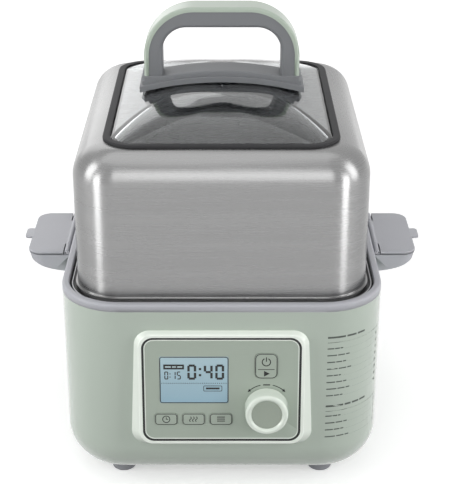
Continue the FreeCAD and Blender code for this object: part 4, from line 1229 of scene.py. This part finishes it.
@dataclass
class ControlPanel:
    """The printed marks of the control panel, its keys and its display, in the panel's flat millimetres."""

    workshop: Workshop
    rows: RowTree
    panel_out: float = -0.5
    window_out: float = -0.4
    key_out: float = 0.3
    label: Strip = (-46.6, 18.3, -30.0, 22.6)
    label_bars: tuple[Point, ...] = ((-45.2, -40.6), (-39.6, -36.4), (-35.4, -31.4))
    label_rows: Point = (20.0, 20.9)
    small_time: Figures = ("0:15", -45.9, 9.4, 3.2, 7.0, 0.85)
    large_time: Figures = ("0:40", -27.4, 9.2, 7.1, 13.4, 1.9)
    mode_box: Outline = (-14.6, -1.2, 0.5, 3.9, 0.5, 1.0)
    mode_bar: Strip = (-12.6, 0.6, -1.6, 2.2)
    window_edge: Outline = (-49.7, -11.7, 5.5, 29.3, 0.7, 2.2)
    dots: int = 31
    dot_start: Point = (-48.0, 6.0)
    dot_pitch: float = 1.72
    arrows: tuple[tuple[int, int, int], ...] = ((104, 130, 1), (76, 50, -1))
    arrow_radius: float = 20.6
    arrow_line: float = 0.7
    arrow_half: float = 1.4
    arrow_angle: float = 7.5
    time_bar: Strip = (33.4, 4.0, 39.0, 5.0)
    dark_line: Outline = (-64.3, -46.3, 64.3, 46.3, 2.1, 9.7)
    # The pale frame inside the dark line is a painted highlight of the panel's rounded edge.
    painted_highlight_outline: Outline = (-62.1, -44.1, 62.1, 44.1, 0.8, 7.6)
    start_box: Outline = (27.0, 10.7, 44.6, 32.1, 0.6, 4.3)
    start_rule: Strip = (29.2, 18.2, 42.4, 18.75)
    power_middle: Point = (35.8, 25.0)
    power_bar: Strip = (35.4, 25.4, 36.2, 29.2)
    start_sign: tuple[Point, ...] = ((34.0, 12.3), (38.6, 14.8), (34.0, 17.3))
    keys: tuple[tuple[str, float], ...] = (("preset_key", -44.9), ("warm_key", -22.7), ("menu_key", -0.5))
    key_y: float = -26.0

    def build(self) -> None:
        """Makes the marks of the display, the panel and the keys."""
        self._display()
        self._panel()
        for body, x in self.keys:
            self._small_key(body, x)
        self._start_key()
        self._dots()

    def _add(self, name: str, plate: PrintPlate, body: str, slot: str, finish: Finish = INK) -> None:
        """Adds a plate of marks to the object.

        Args:
            name: The piece's name.
            plate: The marks.
            body: The body that it rides on.
            slot: The record's slot of what it is printed on.
            finish: The ink.
        """
        self.workshop.piece(name, plate.mesh(name), finish, body, slot)

    def _display(self) -> None:
        """The numbers, the frame and the label of the display."""
        plate = PrintPlate(on_panel, raised=self.window_out + 0.05)
        plate.bar(*self.label)
        plate.number(*self.small_time)
        plate.number(*self.large_time)
        plate.frame(*self.mode_box)
        plate.bar(*self.mode_bar)
        plate.frame(*self.window_edge)
        self._add("display_marks", plate, "base", "display_glass")
        pale = PrintPlate(on_panel, raised=self.window_out + 0.1)
        low, high = self.label_rows
        for left, right in self.label_bars:
            pale.bar(left, low, right, high)
        self._add("display_label", pale, "base", "display_glass", LIT)

    def _panel(self) -> None:
        """The arrows above the knob, the dark line round the panel, and inside it a pale line that is a painted
        highlight of the panel's rounded edge.
        """
        plate = PrintPlate(on_panel, raised=self.panel_out + 0.05)
        for start, end, way in self.arrows:
            plate.arc(KNOB_PLACE, self.arrow_radius, min(start, end), max(start, end), self.arrow_line)
            head = [round_point(KNOB_PLACE, self.arrow_radius + self.arrow_half, end),
                    round_point(KNOB_PLACE, self.arrow_radius, end + self.arrow_angle * way),
                    round_point(KNOB_PLACE, self.arrow_radius - self.arrow_half, end)]
            plate.polygon(head[::way])
        plate.bar(*self.time_bar)
        self._add("panel_marks", plate, "base", "panel_light")
        line = PrintPlate(on_panel, raised=-0.22)
        line.frame(*self.dark_line)
        self._add("panel_dark_line", line, "base", "rubber_dark")
        # A pale frame in the bezel's finish: a painted highlight of the panel's rounded edge.
        edge = PrintPlate(on_panel, raised=self.panel_out + 0.06)
        edge.frame(*self.painted_highlight_outline)
        self._add("panel_bright_edge", edge, "base", "panel_light", BEZEL)

    def _small_key(self, body: str, x: float) -> None:
        """The outline and the icon of a small key: a clock, rising steam or a list.

        Args:
            body: The key's body.
            x: The key's middle.
        """
        plate = PrintPlate(on_panel, raised=self.key_out + 0.05)
        y = self.key_y
        plate.frame(x - 8.8, y - 4.9, x + 8.8, y + 4.9, 0.55, 2.4)
        if body == "preset_key":
            plate.arc((x, y), 2.9, 0, 360, 0.7)
            plate.bar(x - 0.3, y - 0.3, x + 0.3, y + 1.9)
            plate.bar(x + 0.3, y - 0.3, x + 1.7, y + 0.3)
        elif body == "warm_key":
            for shift in (-2.4, 0.0, 2.4):
                plate.arc((x + shift - 0.6, y + 1.1), 1.1, -75, 75, 0.65)
                plate.arc((x + shift + 0.2, y - 1.0), 1.1, 105, 255, 0.65)
        else:
            for height in (y - 2.0, y - 0.2, y + 1.6):
                plate.bar(x - 3.2, height, x + 3.2, height + 0.8)
        self._add(body + "_mark", plate, body, "key_light")

    def _start_key(self) -> None:
        """The outline of the large key, with a power sign above and a start sign below."""
        plate = PrintPlate(on_panel, raised=self.key_out + 0.05)
        plate.frame(*self.start_box)
        plate.bar(*self.start_rule)
        plate.arc(self.power_middle, 3.3, 118, 422, 0.85)
        plate.bar(*self.power_bar)
        plate.polygon(self.start_sign)
        self._add("start_key_mark", plate, "start_key", "key_light")

    def _dots(self) -> None:
        """The dotted line across the display."""
        outward = (on_panel(0, 0, 1) - on_panel(0, 0, 0)).normalized()
        left, high = self.dot_start
        spots = [(on_panel(left + index * self.dot_pitch, high, self.window_out + 0.02), outward)
                 for index in range(self.dots)]
        dot = round_mark("dot_template", ((0.4, -0.02), (0.4, 0.05)), sides=8)
        self.rows.lay("display_dots", spots, dot, 1.0, INK.material(self.workshop.groups), "display_glass")


@dataclass
class SidePrint:
    """The cooking guide on the right front corner, as plain bars, rules, dots and numbers."""

    workshop: Workshop
    rows: RowTree
    width: float = 56.0
    dot_pitch: float = 1.6
    first_head: tuple[Point, ...] = ((0, 15), (16.4, 25), (26.4, 34))
    second_head: tuple[Point, ...] = ((0, 15), (16.4, 22), (23.4, 30), (31.4, 38))
    heights: tuple[float, ...] = (132.5, 126.3, 120.1, 113.9, 107.8, 101.6, 95.4, 89.2, 69.9, 63.3, 56.8, 50.2)
    lengths: tuple[float, ...] = (13.0, 19.0, 16.0, 21.0, 12.0, 17.0, 20.0, 14.0, 13.0, 19.0, 16.0, 21.0)
    values: tuple[str, ...] = ("10", "12", "15", "18", "20", "25", "30", "40", "2", "3", "4", "5")
    words: tuple[Point, ...] = ((0.0, 0.42), (0.47, 0.78), (0.83, 1.0))

    def build(self) -> None:
        """Makes the guide."""
        plate = PrintPlate(on_corner, raised=0.05)
        for head, low, rule in ((self.first_head, 141.8, 137.8), (self.second_head, 78.5, 74.3)):
            for start, end in head:
                plate.bar(start, low, end, low + 1.6)
            plate.bar(0, rule, self.width, rule + 0.35)
        spots = []
        for height, length, value in zip(self.heights, self.lengths, self.values):
            for start, end in self.words:
                plate.bar(length * start, height - 0.5, length * end, height + 0.5)
            plate.number(value, self.width - (5.0 if len(value) > 1 else 2.4), height - 1.2, 1.6, 2.4, 0.36)
            reach = length + self.dot_pitch
            while reach < self.width - 6.4:
                outward = on_corner(reach, height, 1) - on_corner(reach, height, 0)
                spots.append((on_corner(reach, height - 0.7, 0.02), outward.normalized()))
                reach += self.dot_pitch
        self.workshop.piece("cooking_guide_print", plate.mesh("cooking_guide_print"), GUIDE_INK, "base",
                            "housing_green")
        dot = round_mark("leader_template", ((0.17, -0.02), (0.17, 0.05)), sides=6)
        self.rows.lay("cooking_guide_dots", spots, dot, 1.0, GUIDE_INK.material(self.workshop.groups),
                      "housing_green")


@dataclass
class Underside:
    """The screws that show from below."""

    workshop: Workshop
    rows: RowTree
    foot: Point = (84.0, 117.0)
    cover: Point = (70.0, 90.0)
    head: tuple[Point, ...] = ((1.35, -1.9), (2.9, -1.8), (3.0, -1.2), (2.8, -0.5), (2.2, -0.15), (1.5, 0.0),
                               (0.5, 0.0))

    def build(self) -> None:
        """Sets the cross-head screws in the feet and the bottom cover."""
        for node, (x, y), size in (("foot_screws", self.foot, 0.9), ("bottom_screws", self.cover, 1.0)):
            low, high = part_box(node)
            tip = (low.z - high.z) / MM / size
            screw = round_mark(node + "_template", ((1.2, tip), (1.35, tip + 1), *self.head), sides=16, cross=True)
            spots = [(Vector((side_x * x * MM, (side_y * y + BASE_Y) * MM, low.z)), Vector((0, 0, -1)))
                     for side_x in (1, -1) for side_y in (1, -1)]
            made = self.rows.lay(node + "_set", spots, screw, size, SCREW.material(self.workshop.groups),
                                 "steel_screw")
            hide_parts(node)


@dataclass(frozen=True)
class Lamp:
    """A soft lamp: its place and aim in metres, its width and height, its watts and its roll in degrees."""

    name: str
    place: tuple[float, float, float]
    aim: tuple[float, float, float]
    size: Point
    power: float
    roll: float = 0.0

    def hang(self) -> None:
        """Adds the lamp to the scene, hidden from the camera."""
        data = bpy.data.lights.new(self.name, "AREA")
        data.shape = "RECTANGLE"
        data.size, data.size_y = self.size
        data.energy = self.power
        lamp = bpy.data.objects.new(self.name, data)
        lamp.location = self.place
        aimed = (Vector(self.aim) - Vector(self.place)).to_track_quat("-Z", "Y")
        lamp.rotation_euler = (aimed @ Quaternion((0, 0, 1), math.radians(self.roll))).to_euler()
        lamp.visible_camera = False
        bpy.context.scene.collection.objects.link(lamp)


@dataclass
class Studio:
    """The floor, the lamps, the world and the camera."""

    camera_place: tuple[float, float, float] = (0.00396, -1.08886, 0.65172)
    lens: float = 100.24
    pitch: float = 65.87
    floor_half: float = 9.0
    floor_tone: float = 0.3
    floor_shown: float = 0.5
    glow_reach: Point = (0.5, 3.0)
    glow: Point = (0.43, 1.0)
    world_light: Point = (0.2, 0.55)
    lamps: tuple[Lamp, ...] = (
        Lamp("left_low", (-0.56, -0.47, 0.2), (-0.05, -0.1, 0.2), (0.16, 0.5), 1.25),
        Lamp("right_low", (0.56, -0.47, 0.2), (0.05, -0.1, 0.2), (0.16, 0.5), 1.25),
        Lamp("left_side", (-1.3, -0.35, 0.75), (0.0, 0.0, 0.2), (0.5, 1.1), 6.0),
        Lamp("right_side", (1.3, -0.35, 0.75), (0.0, 0.0, 0.2), (0.5, 1.1), 5.5),
        Lamp("high_soft", (-0.15, 0.1, 1.8), (0.0, 0.0, 0.15), (1.7, 1.2), 4.6),
        Lamp("front_fill", (0.1, -1.7, 1.1), (0.0, 0.0, 0.12), (1.3, 1.0), 8.4),
        Lamp("back_soft", (-0.72, 1.5, 0.92), (-0.1, 0.0, 0.3), (1.15, 1.15), 3.5, 24.0))

    def build(self) -> None:
        """Sets up the studio."""
        self._floor()
        self._world()
        for lamp in self.lamps:
            lamp.hang()
        camera = bpy.data.objects.new("camera", bpy.data.cameras.new("camera"))
        bpy.context.scene.collection.objects.link(camera)
        camera.location = self.camera_place
        camera.rotation_euler = (math.radians(self.pitch), 0, 0)
        camera.data.sensor_width = 36.0
        camera.data.lens = self.lens
        bpy.context.scene.camera = camera
        bpy.context.scene.view_settings.view_transform = "Standard"

    def _floor(self) -> None:
        """Lays a plain white floor that keeps the object's shadow, and that glows more with the distance."""
        mesh = bpy.data.meshes.new("floor")
        reach = self.floor_half
        corners = [(-reach, -reach, 0), (reach, -reach, 0), (reach, reach, 0), (-reach, reach, 0)]
        mesh.from_pydata(corners, [], [(0, 1, 2, 3)])
        floor = bpy.data.objects.new("floor", mesh)
        bpy.context.scene.collection.objects.link(floor)
        made = bpy.data.materials.new("white_floor")
        made.use_nodes = True
        wiring = Wiring(made.node_tree)
        seen = showing(wiring)
        grey = maths(wiring, "ADD", maths(wiring, "MULTIPLY", seen, self.floor_shown), self.floor_tone)
        tone = wiring.add("ShaderNodeCombineColor", Red=grey, Green=grey, Blue=grey)
        shader = wiring.add("ShaderNodeBsdfDiffuse", Color=tone.outputs[0])
        place = wiring.add("ShaderNodeTexCoord")
        away = wiring.add("ShaderNodeVectorMath", {"operation": "LENGTH"})
        wiring.join(place.outputs["Object"], away.inputs[0])
        near, far = self.glow_reach
        dim, full = self.glow
        level = wiring.add("ShaderNodeMapRange", Value=away.outputs["Value"], From_Min=near, From_Max=far,
                           To_Min=dim, To_Max=full)
        glow = wiring.add("ShaderNodeEmission", Color=(1, 1, 1, 1),
                          Strength=maths(wiring, "MULTIPLY", seen, level.outputs[0]))
        both = wiring.add("ShaderNodeAddShader")
        wiring.join(shader.outputs[0], both.inputs[0])
        wiring.join(glow.outputs[0], both.inputs[1])
        leave = wiring.add("ShaderNodeOutputMaterial")
        wiring.join(both.outputs[0], leave.inputs["Surface"])
        mesh.materials.append(made)

    def _world(self) -> None:
        """Makes a world that shows white, and that lights the object less from the cook's side."""
        world = bpy.data.worlds.new("studio")
        bpy.context.scene.world = world
        world.use_nodes = True
        wiring = Wiring(world.node_tree)
        place = wiring.add("ShaderNodeTexCoord")
        parts = wiring.add("ShaderNodeSeparateXYZ", Vector=place.outputs["Generated"])
        front, behind = self.world_light
        depth = wiring.add("ShaderNodeMapRange", Value=parts.outputs["Y"], From_Min=-0.7, From_Max=0.7,
                           To_Min=front, To_Max=behind)
        strength = maths(wiring, "MAXIMUM", showing(wiring), depth.outputs[0])
        back = wiring.add("ShaderNodeBackground", Color=(1, 1, 1, 1), Strength=strength)
        leave = wiring.add("ShaderNodeOutputWorld")
        wiring.join(back.outputs[0], leave.inputs["Surface"])


def main() -> None:
    """Builds the object and its studio."""
    logging.basicConfig(level=logging.INFO, format="%(name)s %(message)s")
    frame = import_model()
    workshop = Workshop(frame, SurfaceGroups())
    rows = RowTree()
    Hood(workshop).build()
    HandleBar(workshop).build()
    Knob(workshop).build()
    for node in SMOOTH_COPIES:
        workshop.smooth_copy(node)
    for node in NODE_FINISH:
        if node not in SMOOTH_COPIES + OWN_SHAPES:
            workshop.dress(node)
    ControlPanel(workshop, rows).build()
    SidePrint(workshop, rows).build()
    Underside(workshop, rows).build()
    Studio().build()


if __name__ == "__main__":
    main()
